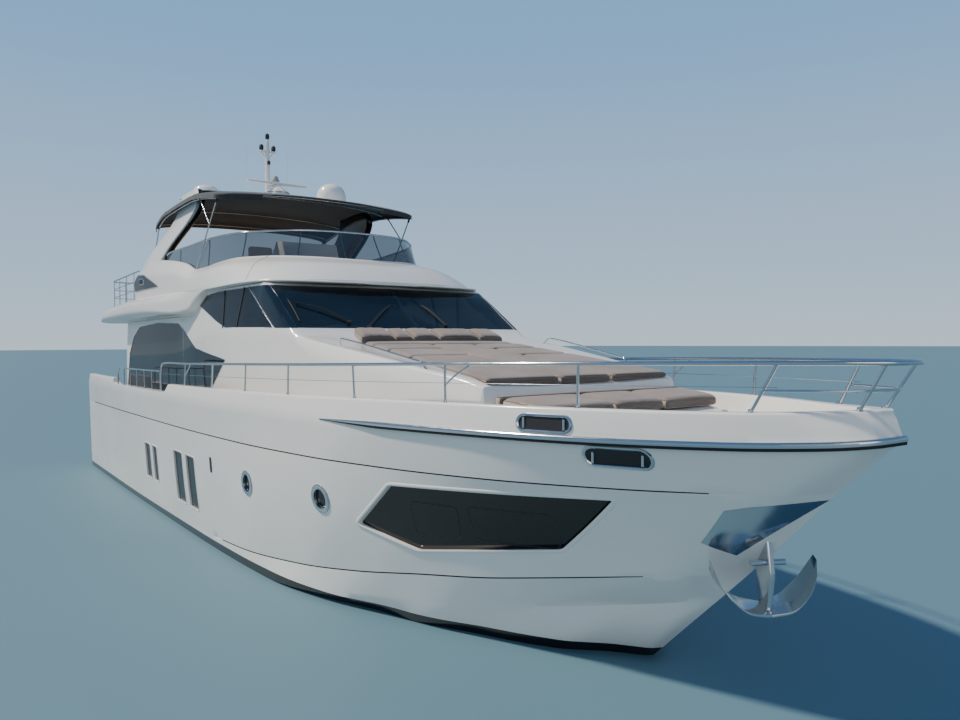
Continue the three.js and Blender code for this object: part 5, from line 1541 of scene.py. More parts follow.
def canopy():
    xs = sorted({*(row[0] for row in CANOPY), *spaced(CANOPY[0][0], CANOPY[-1][0], 0.09)})
    shares = [math.sin(math.pi / 2 * k / 28) for k in range(-28, 29)]
    loops = []
    for x in xs:
        row = [canvas_point(x, share) for share in shares]
        low = [Vector((p.x, p.y * (1 - 0.004), p.z - CANVAS_HEM)) for p in (row[0], row[-1])]
        top = [low[0], *row, low[1]]
        under = []
        for i, p in enumerate(top):
            a = top[max(0, i - 1)]
            b = top[min(len(top) - 1, i + 1)]
            across = (b - a).normalized()
            under.append(p + Vector((0, across.z, -across.y)) * CANVAS_THICKNESS)
        loops.append([*top, *reversed(under)])
    sheet = skin("canvas_top", loops, CANVAS)
    slots = []
    for _, sign in SIDES:
        heights = spaced(6.9, ARCH_HEIGHTS[1], 0.1)
        slots.append(skin("slot", [arch_ring(z, sign, 0.012) for z in heights], CANVAS))
    sheet = smooth(cut(sheet, *slots), 50)
    finish_piece(sheet, "canopy", replaces=True)
    hems = []
    for x in (CANOPY[0][0] + 0.02, *BOW_X[1:3]):
        path = [canvas_point(x, share) + Vector((0, 0, 0.003)) for share in shares[1:-1]]
        hems.append(tube("hem", path, 0.007, CANVAS, 1, 3))
    for _, sign in SIDES:
        path = [canvas_point(x, sign) + Vector((0, 0, -CANVAS_HEM)) for x in xs]
        hems.append(tube("hem", path, 0.008, CANVAS, 1, 3))
    hem = finish_piece(joined("canvas_hems", *hems), "canopy")


def canopy_frame():
    below = CANVAS_THICKNESS + BOW_RADIUS + 0.03
    parts = []
    for x in BOW_X:
        half = [math.sin(math.pi / 2 * k / 8) * 0.965 for k in range(-8, 9)]
        path = [canvas_point(x, share) - Vector((0, 0, below)) for share in half]
        parts.append(tube("bow", path, BOW_RADIUS, STEEL, 3))
    for _, sign in SIDES:

        def on_edge(x):
            y, edge, _ = [f(x) for f in canopy_column]
            return Vector((x, (y - 0.07) * sign, edge - 0.076))

        stringer = [on_edge(x) for x in spaced(BOW_X[0], BOW_X[-1], 0.3)]
        parts.append(tube("stringer", stringer, BOW_RADIUS, STEEL, 2))
        for head, (x, y, z) in CANOPY_STRUTS:
            foot = Vector((x, y * sign, z))
            parts.append(tube("strut", [on_edge(head), foot], STRUT_RADIUS, STEEL, 1))
            parts.append(tube("socket", [on_edge(head), on_edge(head).lerp(foot, 0.05)], 0.024, DARK, 1))
    finish_piece(joined("canopy_tubes", *parts), "canopy_frame", replaces=True)


# Mast, domes and scanner
DECK_TOP = ARCH_PLATFORM["z1"]
MAST = {"x": -3.16, "top": 9.6, "crosstree": 9.12, "half_span": 0.21}
SCANNER = {"x": -2.26, "y": -0.1, "z": 8.11, "length": 1.6, "depth": 0.11, "height": 0.08}
# Profiles of turned parts, each row: radius, height above the foot
POLE = (
    (0, 0), (0.15, 0), (0.15, 0.02), (0.1, 0.06), (0.075, 0.16), (0.07, 0.55), (0.06, 0.9), (0.05, 1.3),
    (0.045, 1.68), (0.03, 1.7), (0.03, 1.75), (0, 1.76),
)
SIDE_LAMP = (
    (0, 0), (0.042, 0), (0.05, 0.012), (0.05, 0.03), (0.058, 0.034), (0.058, 0.12), (0.046, 0.14),
    (0.03, 0.155), (0, 0.16),
)
TOP_LAMP = ((0, 0), (0.045, 0), (0.055, 0.05), (0.05, 0.12), (0.02, 0.15), (0, 0.155))
FRONT_LAMP = ((0, 0), (0.04, 0), (0.045, 0.07), (0.03, 0.1), (0, 0.1))
HORN = ((0, 0), (0.1, 0), (0.12, 0.03), (0.1, 0.2), (0.06, 0.29), (0, 0.32))
WHIP_BASE = ((0, 0), (0.03, 0), (0.022, 0.09), (0, 0.1))
PEDESTAL = (
    (0, 0), (0.33, 0), (0.335, 0.03), (0.34, 0.1), (0.3, 0.17), (0.25, 0.22), (0.2, 0.26), (0.14, 0.3),
    (0.11, 0.33), (0.09, 0.345),
)
TIE = ((0.3, 0.14), (0.318, 0.15), (0.318, 0.165), (0.29, 0.18))
# Domes, each row: piece, node, y of the centre, profile
DOME_X = -2.94
DOMES = (
    ("tall_dome", "satellite_dome", 1.72, (
        (0, 0), (0.25, 0), (0.26, 0.03), (0.27, 0.07), (0.33, 0.12), (0.37, 0.17), (0.392, 0.24), (0.4, 0.34),
        (0.394, 0.42), (0.375, 0.49), (0.345, 0.56), (0.3, 0.62), (0.24, 0.67), (0.17, 0.707), (0.09, 0.73),
        (0, 0.74),
    )),
    ("flat_dome", "tv_dome", -1.68, (
        (0, 0), (0.28, 0), (0.285, 0.03), (0.31, 0.05), (0.312, 0.09), (0.305, 0.14), (0.285, 0.19),
        (0.25, 0.235), (0.19, 0.27), (0.1, 0.293), (0, 0.3),
    )),
)


def mast():
    x = MAST["x"]
    z = DECK_TOP
    half = MAST["half_span"]
    level = MAST["crosstree"]
    parts = [turned("pole", POLE, (x, 0, z), MAST_WHITE, 24)]
    plate = [
        (x - 0.06, -half), (x + 0.06, -half), (x + 0.075, 0),
        (x + 0.06, half), (x - 0.06, half), (x - 0.075, 0),
    ]
    crosstree = prism("z", plate, level - 0.012, level + 0.012, MAST_WHITE, name="plate")
    parts.append(smooth(bevelled(crosstree, 0.006), 40))
    brace = [(x, -half + 0.03, level - 0.02), (x, 0, level - 0.16), (x, half - 0.03, level - 0.02)]
    parts.append(tube("brace", brace, 0.014, MAST_WHITE, 5))
    for y in (-half + 0.045, half - 0.045):
        parts.append(turned("lamp", SIDE_LAMP, (x, y, level + 0.012), DARK, 20))
    top = MAST["top"] - z
    parts.append(turned("lamp", TOP_LAMP, (x, 0, z + top - 0.155), DARK, 20))
    parts.append(turned("lamp", FRONT_LAMP, (x + 0.09, 0, level - 0.36), DARK, 20))
    parts.append(tube("arm", [(x + 0.03, 0, level - 0.34), (x + 0.1, 0, level - 0.35)], 0.02, MAST_WHITE, 1))
    horn = (x - 0.02, 0.22, level - 0.92)
    parts.append(turned("horn", HORN, horn, GREY, 28))
    parts.append(tube("arm", [(x, 0.02, level - 0.88), horn], 0.025, MAST_WHITE, 1))
    for y in (-0.6, 0.5):
        parts.append(tube("whip", [(x + 0.1, y, z), (x + 0.1, y, z + 1.45)], 0.006, MAST_WHITE, 1, 3))
        parts.append(turned("base", WHIP_BASE, (x + 0.1, y, z), MAST_WHITE, 16))
    finish_piece(joined("mast_with_lamps", *parts), "mast", replaces=True)


def domes():
    for name, node, y, profile in DOMES:
        finish_piece(turned(name, profile, (DOME_X, y, DECK_TOP), WHITE, 64), node, replaces=True)


def scanner():
    """The bar on its pedestal, whose cover is gathered in folds under a tie."""
    s = SCANNER
    centre = (s["x"], s["y"], DECK_TOP)
    rim = s["z"] - s["height"] / 2 - DECK_TOP - 0.012
    pedestal = turned("pedestal", (*PEDESTAL, (0.09, rim), (0, rim)), centre, WHITE)
    for vertex in pedestal.data.vertices:
        angle = math.atan2(vertex.co.y - s["y"], vertex.co.x - s["x"])
        height = vertex.co.z - DECK_TOP
        if 0.04 < height < 0.3:
            fold = math.sin(9 * angle) * math.sin(math.pi * height / 0.3)
            pull = 0.012 * fold + 0.006 * math.sin(17 * angle)
            vertex.co.x += pull * math.cos(angle)
            vertex.co.y += pull * math.sin(angle)
    tie = turned("tie", TIE, centre, GREY)
    finish_piece(joined("scanner_base", pedestal, tie), "scanner_pedestal", replaces=True)
    loops = []
    for t in spaced(-1, 1, 0.05):
        taper = math.sqrt(max(0.02, 1 - max(0, (abs(t) - 0.93) / 0.07) ** 2))
        half = s["depth"] / 2 * taper * (1 - 0.15 * abs(t))
        tall = s["height"] / 2 * taper * (1 - 0.25 * abs(t))
        y = s["y"] + t * s["length"] / 2
        ring = [
            (-half, -tall), (half, -tall), (half, tall * 0.3), (half * 0.5, tall), (-half * 0.5, tall),
            (-half, tall * 0.3),
        ]
        path = [(s["x"] + a, y, s["z"] + b) for a, b in ring]
        loops.append(round_corners(path, 0.02, 3, closed=True))
    bar = smooth(skin("scanner_bar", loops, WHITE), 35)
    finish_piece(bar, "radar_scanner", replaces=True)


# Rubbing strake, fairleads, anchor pocket and planked decks

STRAKE_AFT = 6.05
STEM_X = 13.075
# Parts of the strake, each row: name, finish, reach out from the hull, closed section as shares of the reach
# and heights
STRAKE_PARTS = (
    ("band", STEEL, 0.045, (
        (-0.4, 0.045), (0.6, 0.045), (0.95, 0.03), (1, 0.01), (0.95, -0.012), (0.6, -0.02), (-0.4, -0.02),
    )),
    # The shadow line is painted shadow: a black strip under the band, in the black rubber finish
    ("shadow_line", RUBBER, 0.034, ((-0.4, -0.015), (1, -0.015), (1, -0.045), (-0.4, -0.045))),
)


def strake():
    """A polished band above a black strip of painted shadow, in one sweep from port round the stem to
    starboard.
    """
    xs = [*spaced(STRAKE_AFT, 11.6, 0.15), *spaced(11.7, 13.03, 0.07)]
    port = []
    for x in xs:
        slope = (deck_edge_y(x + 0.01) - deck_edge_y(x - 0.01)) / 0.02
        turn = math.hypot(1, slope)
        grow = min(1, 0.2 + (x - STRAKE_AFT) / 1.6)
        port.append((x, deck_edge_y(x), deck_edge_z(x), -slope / turn, 1 / turn, grow))
    starboard = [(x, -y, z, nx, -ny, grow) for x, y, z, nx, ny, grow in reversed(port)]
    rows = [*port, (STEM_X, 0, deck_edge_z(STEM_X), 1, 0, 1), *starboard]
    parts = []
    for name, material, proud, section in STRAKE_PARTS:
        loops = []
        for x, y, z, nx, ny, grow in rows:
            reach = proud * grow
            loops.append([(x + nx * reach * d, y + ny * reach * d, z + h * grow) for d, h in section])
        parts.append(smooth(skin(name, loops, material), 40))
    finish_piece(joined("strake_band", *parts), "rubbing_strake", replaces=True)


# Oval mooring openings in the topsides, each row: x and z of the centre, length, height
FAIRLEADS = ((10.78, 2.79, 0.67, 0.19), (9.99, 3.125, 0.63, 0.16))
FAIRLEAD_RIM = ((0, -0.01), (-0.004, 0.012), (0.008, 0.024), (0.026, 0.02), (0.034, -0.004))


def stadium(x, z, length, height, sides=10):
    half = (length - height) / 2
    radius = height / 2
    points = []
    for end, start in ((1, -math.pi / 2), (-1, math.pi / 2)):
        for k in range(sides + 1):
            a = start + math.pi * k / sides
            points.append((x + half * end + radius * math.cos(a), z + radius * math.sin(a)))
    return points


def fairleads():
    for side, sign in SIDES:
        parts = []
        for x, z, length, height in FAIRLEADS:
            outline = stadium(x, z, length, height)
            parts.append(ring_on_hull("rim", outline, FAIRLEAD_RIM, sign, STEEL, 0.05))
            # A dark plate in each opening, as painted shade for its depth
            parts.append(patch("inside", drawn(outline, -0.002), 0.003, -0.02, sign, DARK, 0.05, 4))
            for end in (-1, 1):
                middle = on_hull(x + end * (length * 0.5 - height * 0.42), z, sign, 0.006)
                reach = Vector((0, 0, height * 0.38))
                parts.append(tube("roller", [middle - reach, middle + reach], 0.017, STEEL, 1, 6))
        finish_piece(joined("fairleads_" + side, *parts), "hull")


ANCHOR_PLATE = ((11.2, 1.81), (11.42, 1.66), (12.35, 2.4), (11.83, 2.315), (11.58, 2.25))


def anchor_pocket():
    """Polished plates that guard the bows where the anchor comes home."""
    parts = [patch("plate", ANCHOR_PLATE, -0.004, 0.006, sign, STEEL, 0.06, 5) for _, sign in SIDES]
    finish_piece(smooth(joined("anchor_plates", *parts), 40), "hull")


# Least upward part of the normal of a face that is walked on
LOOKS_UP = 0.93


def planked(obj, test):
    """Gives the teak to faces that look up and pass a test of their middle."""
    obj.data.materials.append(TEAK)
    index = len(obj.data.materials) - 1
    for face in obj.data.polygons:
        if face.normal.z > LOOKS_UP and test(face.center):
            face.material_index = index


def lay_decks():
    planked(bpy.data.objects["hull_moulding"], lambda p: p.x < 4.4 and abs(p.z - deck_level(p.x)) < 0.12)
    planked(
        bpy.data.objects["flybridge_shell"],
        lambda p: abs(p.y) < 2.5 and -9.2 < p.x < 1.2 and FLY_FLOOR - 0.25 < p.z < FLY_FLOOR + 0.06,
    )


# Anchor in its own frame: x ahead, y across its flukes, origin at its crown, then turned and placed
ANCHOR_AT = (11.68, -0.1, 1.06)
ANCHOR_TURN = -30
# Rings of a fluke, each row: y, height, x of its edges, thickness
FLUKE = (
    (0, 0, -0.13, 0.13, 0.046), (0.23, 0.04, -0.23, 0.15, 0.04), (0.43, 0.18, -0.26, 0.12, 0.034),
    (0.57, 0.4, -0.21, 0.04, 0.026), (0.61, 0.56, -0.12, -0.04, 0.018),
)
SHANK = ((-0.12, 0.04), (0.06, 0), (0.15, 0.42), (0.02, 1.0), (-0.19, 0.9), (-0.22, 0.62))


def anchor():
    """A polished stockless anchor: two curved flukes, a flat shank and the bolt through it."""
    parts = []
    height, aft, ahead, thickness = columns_of(FLUKE)
    for _, sign in SIDES:
        loops = []
        for y in spaced(FLUKE[0][0], FLUKE[-1][0], 0.04):
            z, x0, x1, t = height(y), aft(y), ahead(y), thickness(y)
            ring = ((x0, z + t), (x1, z - 0.02), (x1, z - 0.02 + t * 0.6), (x0, z + t * 1.7))
            loops.append([(x, y * sign, zz) for x, zz in ring])
        parts.append(smooth(bevelled(skin("fluke", loops, STEEL), 0.006, 2), 40))
    outline = flat_path(SHANK, 0.06)
    parts.append(smooth(bevelled(prism("y", outline, -0.032, 0.032, STEEL, name="shank"), 0.01, 3), 40))
    parts.append(tube("bolt", [(0.02, -0.2, 0.56), (0.02, 0.2, 0.56)], 0.034, STEEL, 1, 8))
    whole = joined("anchor_and_flukes", *parts)
    turn = Matrix.Translation(ANCHOR_AT) @ Matrix.Rotation(math.radians(ANCHOR_TURN), 4, "Z")
    whole.data.transform(turn)
    finish_piece(whole, "anchor", replaces=True)


# Dark window in each side of the moulding, under the foot of the arch
SIDE_WINDOW = ((-5.66, 5.45), (-5.29, 5.87), (-4.47, 5.81), (-3.3, 5.46))
SIDE_WINDOW_RIM = ((0, -0.004), (0, 0.01), (0.018, 0.01), (0.022, -0.004))


def on_moulding(x, z, sign, out=0.0):
    """Point of the side of the flybridge moulding at x and z, moved out sideways."""
    hit = FLY_SURFACE.ray_cast(Vector((x, 6 * sign, z)), Vector((0, -sign, 0)))[0]
    y = abs(hit.y) if hit else 2.6
    return Vector((x, (y + out) * sign, z))


def side_windows():
    outline = flat_path(SIDE_WINDOW, 0.1, 5)
    vent = stadium(-4.75, 5.66, 0.42, 0.12)
    rim = SIDE_WINDOW_RIM
    for side, sign in SIDES:
        parts = [patch("pane", outline, 0.005, -0.01, sign, PILLAR_GLASS, 0.1, 6, on_moulding)]
        parts.append(ring_on_hull("rim", outline, rim, sign, GREY, 0.1, on_moulding))
        parts.append(ring_on_hull("vent", vent, rim, sign, STEEL, 0.05, on_moulding))
        parts.append(patch("grille", vent, 0.008, 0.0, sign, DARK, 0.04, 4, on_moulding))
        finish_piece(smooth(joined("side_window_" + side, *parts), 40), "flybridge_moulding")


# Cushions

CUSHION_GAP = 0.005
# Filling of the cushions: pressure in the cloth, frames that it swells for, the most that it gives downwards
# and sideways, and the height of what stays still at the bottom
CLOTH_PRESSURE = 4
CLOTH_FRAMES = 20
CLOTH_GIVE = 0.004
CLOTH_SPREAD = 0.003
CLOTH_STILL = 0.04
PIPING_RADIUS = 0.006
# How far the sides of a cushion are drawn in between its corners
DRAWN_IN = 0.006


def inflate(obj, rise):
    """Swells closed pads as cloth under pressure; no point goes further than rise upwards."""
    rest = [v.co.copy() for v in obj.data.vertices]
    modifier = obj.modifiers.new("filling", "CLOTH")
    modifier.settings.use_pressure = True
    modifier.settings.uniform_pressure_force = CLOTH_PRESSURE
    modifier.settings.effector_weights.gravity = 0
    modifier.point_cache.frame_start = 1
    modifier.point_cache.frame_end = CLOTH_FRAMES
    for frame_number in range(1, CLOTH_FRAMES + 1):
        bpy.context.scene.frame_set(frame_number)
    swollen = obj.evaluated_get(bpy.context.evaluated_depsgraph_get()).to_mesh()
    moved = [v.co.copy() for v in swollen.vertices]
    obj.modifiers.clear()
    low = min(p.z for p in rest)
    for vertex, before, after in zip(obj.data.vertices, rest, moved):
        step = after - before
        up = max(-CLOTH_GIVE, min(rise, step.z)) if before.z > low + CLOTH_STILL else 0
        side = Vector((step.x, step.y, 0))
        if side.length > CLOTH_SPREAD:
            side *= CLOTH_SPREAD / side.length
        vertex.co = before + side + Vector((0, 0, up))
    bpy.context.scene.frame_set(1)


def subdivide(obj):
    modifier = obj.modifiers.new("surface", "SUBSURF")
    modifier.levels = 1
    modifier.render_levels = 1
    smooth(apply_modifiers(obj), 80)


def pad_form(low, high, cell, edge, material, crown=0.012):
    """One cushion before it is filled: its middle a little higher, its sides drawn in between the corners."""
    low = [a + CUSHION_GAP for a in low[:2]] + [low[2]]
    high = [b - CUSHION_GAP for b in high[:2]] + [high[2]]
    obj = block("pad", low, high, material, edge)
    modifier = obj.modifiers.new("even", "REMESH")
    modifier.mode = "VOXEL"
    modifier.voxel_size = cell
    apply_modifiers(obj)
    for vertex in obj.data.vertices:
        u, v, w = [(vertex.co[i] - low[i]) / (high[i] - low[i]) * 2 - 1 for i in range(3)]
        lift = crown * (1 - min(1, abs(u)) ** 4) * (1 - min(1, abs(v)) ** 4)
        vertex.co.z += lift * max(0, w)
        vertex.co.x -= DRAWN_IN * u * (1 - v * v)
        vertex.co.y -= DRAWN_IN * v * (1 - u * u)
    return obj


def filled(name, pads, node, rise, materials):
    """The cushions of a node in one piece, filled; finishes are those of the top, sides and front edge, the
    front edge darker as painted shade.
    """
    piece = joined(name, *pads)
    inflate(piece, rise)
    subdivide(piece)
    piece.data.materials.clear()
    for material in materials:
        piece.data.materials.append(material)
    for face in piece.data.polygons:
        if len(materials) > 1 and face.normal.z < 0.55:
            # Faces that look ahead take the third, darker finish as painted shade
            face.material_index = 2 if len(materials) > 2 and face.normal.x > 0.5 else 1
    finish_piece(piece, node)
    stand_for(node)
    return piece


def piping(name, loops, surface, material):
    """Sewn cords on the surface of cushions, each loop a closed path near it."""
    cords = []
    for loop in loops:
        path = [surface.find_nearest(Vector(p))[0] for p in loop]
        cords.append(tube("cord", [*path, path[0]], PIPING_RADIUS, material, 1, 3))
    return joined(name, *cords)


# Sunpads, each row: x from and to, half-breadth aft and ahead, height of the top aft and ahead, thickness
SUNPADS = {
    "main": (4.98, 8.78, 1.54, 1.77, 4.06, 3.57, 0.13),
    "lower": (8.9, 9.78, 1.77, 1.64, 3.36, 3.27, 0.14),
    "backrest": (4.52, 4.96, 1.48, 1.54, 4.33, 4.15, 0.16),
}
# Cushions of each pad, each row: x from and to, then y from and to as shares of the half-breadth
PAD_CUSHIONS = {
    "main": (
        (4.98, 5.35, -1, 1), (5.35, 8.78, -0.27, 0.3), (5.35, 5.92, -1, -0.27), (5.92, 6.67, -1, -0.27),
        (6.67, 8.78, -1, -0.27), (5.35, 5.92, 0.3, 1), (5.92, 6.67, 0.3, 1), (6.67, 8.78, 0.3, 1),
    ),
    "lower": ((9.02, 9.78, -1, -0.27), (9.02, 9.78, -0.27, 0.3), (9.02, 9.78, 0.3, 1), (8.9, 9.02, -1, 1)),
    "backrest": (
        (4.52, 4.96, -1, -0.56), (4.52, 4.96, -0.56, -0.32), (4.52, 4.96, -0.32, 0.05),
        (4.52, 4.96, 0.05, 0.63), (4.52, 4.96, 0.63, 1),
    ),
}
# Length of a narrow cushion at most, such as a bolster
BOLSTER = 0.2
PAD_CELL = {"main": 0.042, "lower": 0.034, "backrest": 0.028}
# How much higher the bolster of the lower pad stands
PAD_ROLL = 0.03
# Finishes of each pad's top, sides and front edge; the darker front edge is painted shade
PAD_FINISHES = {
    "main": (TAUPE, BEIGE, PAD_SHADE_AND_PIPING),
    "lower": (TAUPE, BEIGE, PAD_SHADE_AND_PIPING),
    "backrest": (TAUPE, TAUPE, PAD_SHADE_AND_PIPING),
}
# Pieces that lie on the deckhouse stand off it by this much
PAD_CLEAR = 0.008
# How far the piping lies in from the edge of a cushion
PIPING_IN = 0.012


def ground(x, y):
    """Height of the deckhouse under a place."""
    hit = HOUSE_SURFACE.ray_cast(Vector((x, y, 6)), Vector((0, 0, -1)))[0]
    return hit.z if hit else -1


def sunpad(which):
    x0, x1, y0, y1, z0, z1, thickness = SUNPADS[which]

    def placed(p):
        t = (p.x - x0) / (x1 - x0)
        z = p.z + z0 + (z1 - z0) * t - thickness
        y = p.y * (y0 + (y1 - y0) * t)
        if p.z < thickness * 0.5:
            z = max(z, ground(p.x, y) + PAD_CLEAR)
        return Vector((p.x, y, z))

    pads = []
    loops = []
    mean = (y0 + y1) / 2
    for a, b, c, d in PAD_CUSHIONS[which]:
        roll = PAD_ROLL if which == "lower" and b - a < BOLSTER else 0
        edge = 0.055 if b - a > BOLSTER else 0.045
        pad = pad_form((a, c * mean, 0), (b, d * mean, thickness + roll), PAD_CELL[which], edge, TAUPE)
        for vertex in pad.data.vertices:
            vertex.co.y /= mean
            vertex.co = placed(vertex.co)
        pads.append(pad)
        g = CUSHION_GAP + PIPING_IN
        corners = [(a + g, c + g / mean), (b - g, c + g / mean), (b - g, d - g / mean), (a + g, d - g / mean)]
        top = thickness + roll - PIPING_IN
        ring = round_corners([(x, y, top) for x, y in corners], 0.05, 4, closed=True)
        dense = []
        for p, q in zip(ring, [*ring[1:], ring[0]]):
            steps = max(1, round((q - p).length / 0.08))
            dense += [p.lerp(q, k / steps) for k in range(steps)]
        loops.append([placed(p) for p in dense])
    node = "sunpad_" + which
    piece = filled(which + "_pads", pads, node, 0.022, PAD_FINISHES[which])
    cord = piping(which + "_piping", loops, surface_of(piece), PAD_SHADE_AND_PIPING)
    finish_piece(cord, node)


# Seats, each row: part, x from and to, y from and to, z from and to, cushions side by side
SEATS = {
    "cockpit_sofa": (
        ("plinth", -10.95, -10.27, -1.28, 1.28, 2.27, 2.52, 1),
        ("pad", -10.93, -10.25, -1.3, 1.3, 2.53, 2.7, 3),
        ("pad", -11.09, -10.94, -1.3, 1.3, 2.54, 3.06, 3),
    ),
    "fly_sofa": (
        ("plinth", -8.3, -7.72, -0.58, 2.23, 5.15, 5.48, 1),
        ("plinth", -7.72, -6.02, 1.67, 2.23, 5.2, 5.48, 1),
        ("pad", -8.28, -7.7, -0.6, 1.64, 5.49, 5.64, 3),
        ("pad", -7.7, -6.0, 1.65, 2.22, 5.49, 5.64, 2),
        ("pad", -8.28, -7.7, 1.65, 2.22, 5.49, 5.64, 1),
        ("pad", -8.4, -8.29, -0.6, 2.22, 5.5, 5.9, 3),
        ("pad", -8.28, -6.0, 2.23, 2.34, 5.5, 5.9, 3),
    ),
    "fly_helm_seat": (
        ("plinth", -0.88, -0.37, -1.33, -0.17, 5.23, 5.64, 1),
        ("pad", -0.88, -0.35, -1.35, -0.15, 5.65, 5.8, 2),
        ("pad", -1.01, -0.89, -1.35, -0.15, 5.66, 6.3, 2),
    ),
    "helm_seats": (
        ("plinth", 1.4, 1.85, -1.45, -0.35, 2.62, 3.25, 1),
        ("pad", 1.37, 1.9, -1.5, -0.3, 3.26, 3.43, 2),
        ("pad", 1.25, 1.365, -1.5, -0.3, 3.28, 3.99, 2),
    ),
    "saloon_sofa": (
        ("plinth", -6.28, -3.02, 1.47, 2.28, 2.3, 2.74, 1),
        ("pad", -6.3, -3.0, 1.45, 2.12, 2.75, 2.93, 4),
        ("pad", -6.3, -3.0, 2.13, 2.3, 2.76, 3.25, 4),
    ),
}
# Cells of each seat's cushions, and their finish
SEAT_MAKE = {
    "cockpit_sofa": (0.036, BEIGE),
    "fly_sofa": (0.042, BEIGE),
    "fly_helm_seat": (0.036, BEIGE),
    "helm_seats": (0.04, LEATHER),
    "saloon_sofa": (0.055, LEATHER),
}


def seats(node):
    cell, material = SEAT_MAKE[node]
    plinths = []
    pads = []
    for part, x0, x1, y0, y1, z0, z1, count in SEATS[node]:
        if part == "plinth":
            plinths.append(block("plinth", (x0, y0, z0), (x1, y1, z1), WHITE, 0.02))
            continue
        axis = 0 if x1 - x0 > y1 - y0 else 1
        start = (x0, y0)[axis]
        length = (x1, y1)[axis] - start
        for k in range(count):
            low = [x0, y0, z0]
            high = [x1, y1, z1]
            low[axis] = start + length * (k / count)
            high[axis] = start + length * ((k + 1) / count)
            pads.append(pad_form(low, high, cell, 0.035, material, 0.008))
    filled(node + "_cushions", pads, node, 0.014, (material,))
    finish_piece(joined(node + "_plinth", *plinths), node)


# Rails

# Posts of the bow rail, x of foot and head, and its top rail: x, half-breadth, height
RAIL_POSTS = (
    (-0.1, -0.08), (1.65, 1.66), (3.36, 3.37), (4.95, 4.96), (6.73, 6.74), (8.5, 8.51), (10.33, 10.35),
    (11.98, 12.25), (12.78, 13.06),
)
RAIL_TOP = (
    (-1.9, 3.0, 3.6), (0, 3.02, 3.63), (3, 2.97, 3.68), (6, 2.72, 3.73), (8.5, 2.23, 3.78),
    (10.35, 1.68, 3.81), (11.5, 1.17, 3.825), (12.3, 0.78, 3.835), (12.85, 0.48, 3.84),
    (13.13, 0.22, 3.842), (13.21, 0, 3.843),
)
RAIL_FOOT = ((-2.16, 3.0, 2.9), (-2.14, 3.0, 3.42), (-2.06, 3.0, 3.56))
# Bent braces from the post at x up to the rail ahead of it: x, reach
RAIL_BRACES = ((8.5, 0.45), (-0.1, 0.4))
RAIL_RADIUS = 0.024
POST_RADIUS = 0.017
# Lower tube round the bow, x, half-breadth, height, and the wire aft of it
LOWER_TUBE = (
    (12.12, 0.85, 3.56), (12.55, 0.6, 3.565), (12.83, 0.38, 3.57), (12.97, 0.16, 3.575), (13.01, 0, 3.58),
)
LOWER_RADIUS = 0.014
WIRE_RADIUS = 0.004
WIRE_DROP = 0.24

rail_column = columns_of(RAIL_TOP)


def on_rail(x, sign=1, drop=0.0):
    y, z = [f(x) for f in rail_column]
    return Vector((x, y * sign, z - drop))


def post_foot(x, sign):
    return Vector((x, (bulwark_y(x) - 0.07) * sign, bulwark_z(x) - 0.01))


def flange(foot, radius=0.042):
    """A round foot plate with a collar."""
    profile = ((0, 0), (radius, 0), (radius, 0.006), (radius * 0.6, 0.012), (radius * 0.55, 0.035), (0, 0.04))
    return turned("flange", profile, foot, STEEL, 20)


def thin_post(surface, x, y, z, floor, lift=0.0):
    """A post with its foot plate, up to a rail from the surface below, or from floor where there is none."""
    hit = surface.ray_cast(Vector((x, y, z)), Vector((0, 0, -1)))[0]
    foot = hit or Vector((x, y, floor))
    return [tube("post", [foot, (x, y, z + lift)], 0.014, STEEL, 1, 6), flange(foot, 0.036)]


def round_the_bow(port):
    """Points of a tube from port to starboard; the last of its port half is at the stem."""
    return [*port, *[(x, -y, z) for x, y, z in reversed(port[:-1])]]


def bow_rail():
    parts = [tube("top_rail", round_the_bow([*RAIL_FOOT, *RAIL_TOP]), RAIL_RADIUS, STEEL, 5, 7)]
    parts.append(tube("lower_rail", round_the_bow(LOWER_TUBE), LOWER_RADIUS, STEEL, 5, 5))
    for _, sign in SIDES:
        for foot_x, head_x in RAIL_POSTS:
            foot = post_foot(foot_x, sign)
            parts.append(tube("post", [foot, on_rail(head_x, sign)], POST_RADIUS, STEEL, 1, 6))
            parts.append(flange(foot + Vector((0, 0, 0.006))))
        wire = []
        for x in (-2.05, *(head for _, head in RAIL_POSTS[:-1])):
            wire.append(on_rail(x, sign, WIRE_DROP))
        parts.append(tube("wire", wire, WIRE_RADIUS, STEEL, 1, 3))
        for x, reach in RAIL_BRACES:
            foot = post_foot(x, sign)
            middle = foot.lerp(on_rail(x, sign), 0.45)
            bend = on_rail(x + reach * 0.35, sign, 0.16)
            parts.append(tube("brace", [middle, bend, on_rail(x + reach, sign)], 0.013, STEEL, 8))
    finish_piece(joined("bow_rail_tubes", *parts), "bow_rail", replaces=True)


# Handrails on the coachroof: x, half-breadth, height
COACH_RAIL = (
    (5.42, 2.15, 4.02), (5.5, 2.19, 4.11), (5.62, 2.2, 4.115), (7.5, 2.02, 3.8), (7.62, 2.01, 3.78),
    (7.7, 1.99, 3.68),
)


def coachroof_rails():
    for side, sign in SIDES:
        path = [(x, y * sign, z) for x, y, z in COACH_RAIL]
        rail = tube("coachroof_handrail_" + side, path, 0.014, STEEL, 4, 6)
        finish_piece(rail, "coachroof_rail_" + side, replaces=True)


# Rail round the after end of the flybridge: x, half-breadth, height
FLY_RAIL = (
    (-5.6, 2.64, 6.03), (-6.3, 2.655, 6.015), (-7.2, 2.66, 5.99), (-8.1, 2.66, 5.97), (-8.9, 2.65, 5.955),
    (-9.2, 2.56, 5.95), (-9.29, 2.25, 5.95), (-9.3, 1.3, 5.95), (-9.3, 0.45, 5.95),
)
# Rows of the rail's table that have a post under them
FLY_RAIL_POSTS = (1, 2, 3, 4, 6, 7, 8)
FLY_RAIL_DROPS = (0.25, 0.5)


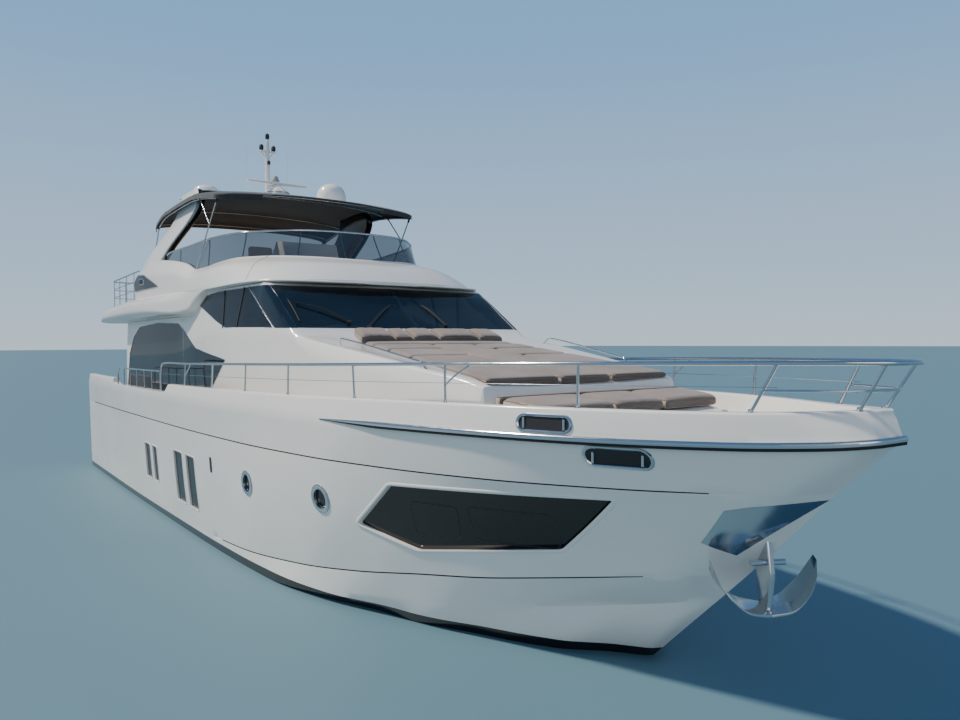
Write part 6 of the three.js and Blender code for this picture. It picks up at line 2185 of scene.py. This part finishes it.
def fly_rail():
    path = [*FLY_RAIL, *[(x, -y, z) for x, y, z in reversed(FLY_RAIL)]]
    parts = [tube("top", path, 0.019, STEEL, 3, 7)]
    for drop in FLY_RAIL_DROPS:
        parts.append(tube("middle", [(x, y, z - drop) for x, y, z in path[1:-1]], 0.011, STEEL, 3, 5))
    for i in FLY_RAIL_POSTS:
        x, y, z = FLY_RAIL[i]
        for _, sign in SIDES:
            parts += thin_post(FLY_SURFACE, x, y * sign, z, 5.1)
    finish_piece(joined("fly_rail_tubes", *parts), "fly_rail", replaces=True)


SIDE_RAIL = {"x0": -6.85, "x1": -2.25, "y": 2.99, "z": 3.38, "posts": 6}


def side_rails():
    r = SIDE_RAIL
    for side, sign in SIDES:
        y = r["y"] * sign
        path = [
            (r["x0"], y, 2.9), (r["x0"] + 0.01, y, 3.24),
            (r["x0"] + 0.12, y, r["z"]), (r["x1"], y, r["z"] + 0.03),
        ]
        parts = [tube("top", round_corners(path, 0.1, 5), 0.019, STEEL, 1, 7)]
        for i in range(1, r["posts"] + 1):
            x = r["x0"] + (r["x1"] - r["x0"] - 0.02) * i / r["posts"]
            parts += thin_post(HULL_TOP, x, y, r["z"], 2.9, 0.02)
        finish_piece(joined("side_rail_tubes_" + side, *parts), "side_rail_" + side, replaces=True)


def dress_plain_nodes():
    for node in NODES:
        if node not in REPLACED:
            dressed_copy(node, FINISH_OF_SLOT[SLOT_OF[node]])


# The build; what rays hit is taken as soon as it is made, before the pieces that stand on it
add_camera()
add_light()
add_floor()
HULL_FORM = hull_form()
HULL_SURFACE = surface_of(HULL_FORM)
hull()
HULL_TOP = surface_of(bpy.data.objects["hull_moulding"])
hull_windows()
small_windows()
house_only = house_form(0)
HOUSE_SURFACE = surface_of(house_only)
bpy.data.objects.remove(house_only)
deckhouse()
house_glass()
helm_window_bars()
window_trims()
wipers()
flybridge_moulding()
FLY_SURFACE = surface_of(bpy.data.objects["flybridge_shell"])
moulding_seams()
fly_screen()
strake()
fairleads()
anchor_pocket()
anchor()
side_windows()
lay_decks()
bow_rail()
coachroof_rails()
fly_rail()
side_rails()
arch()
canopy()
canopy_frame()
mast()
domes()
scanner()
for which in SUNPADS:
    sunpad(which)
for node in SEATS:
    seats(node)
dress_plain_nodes()
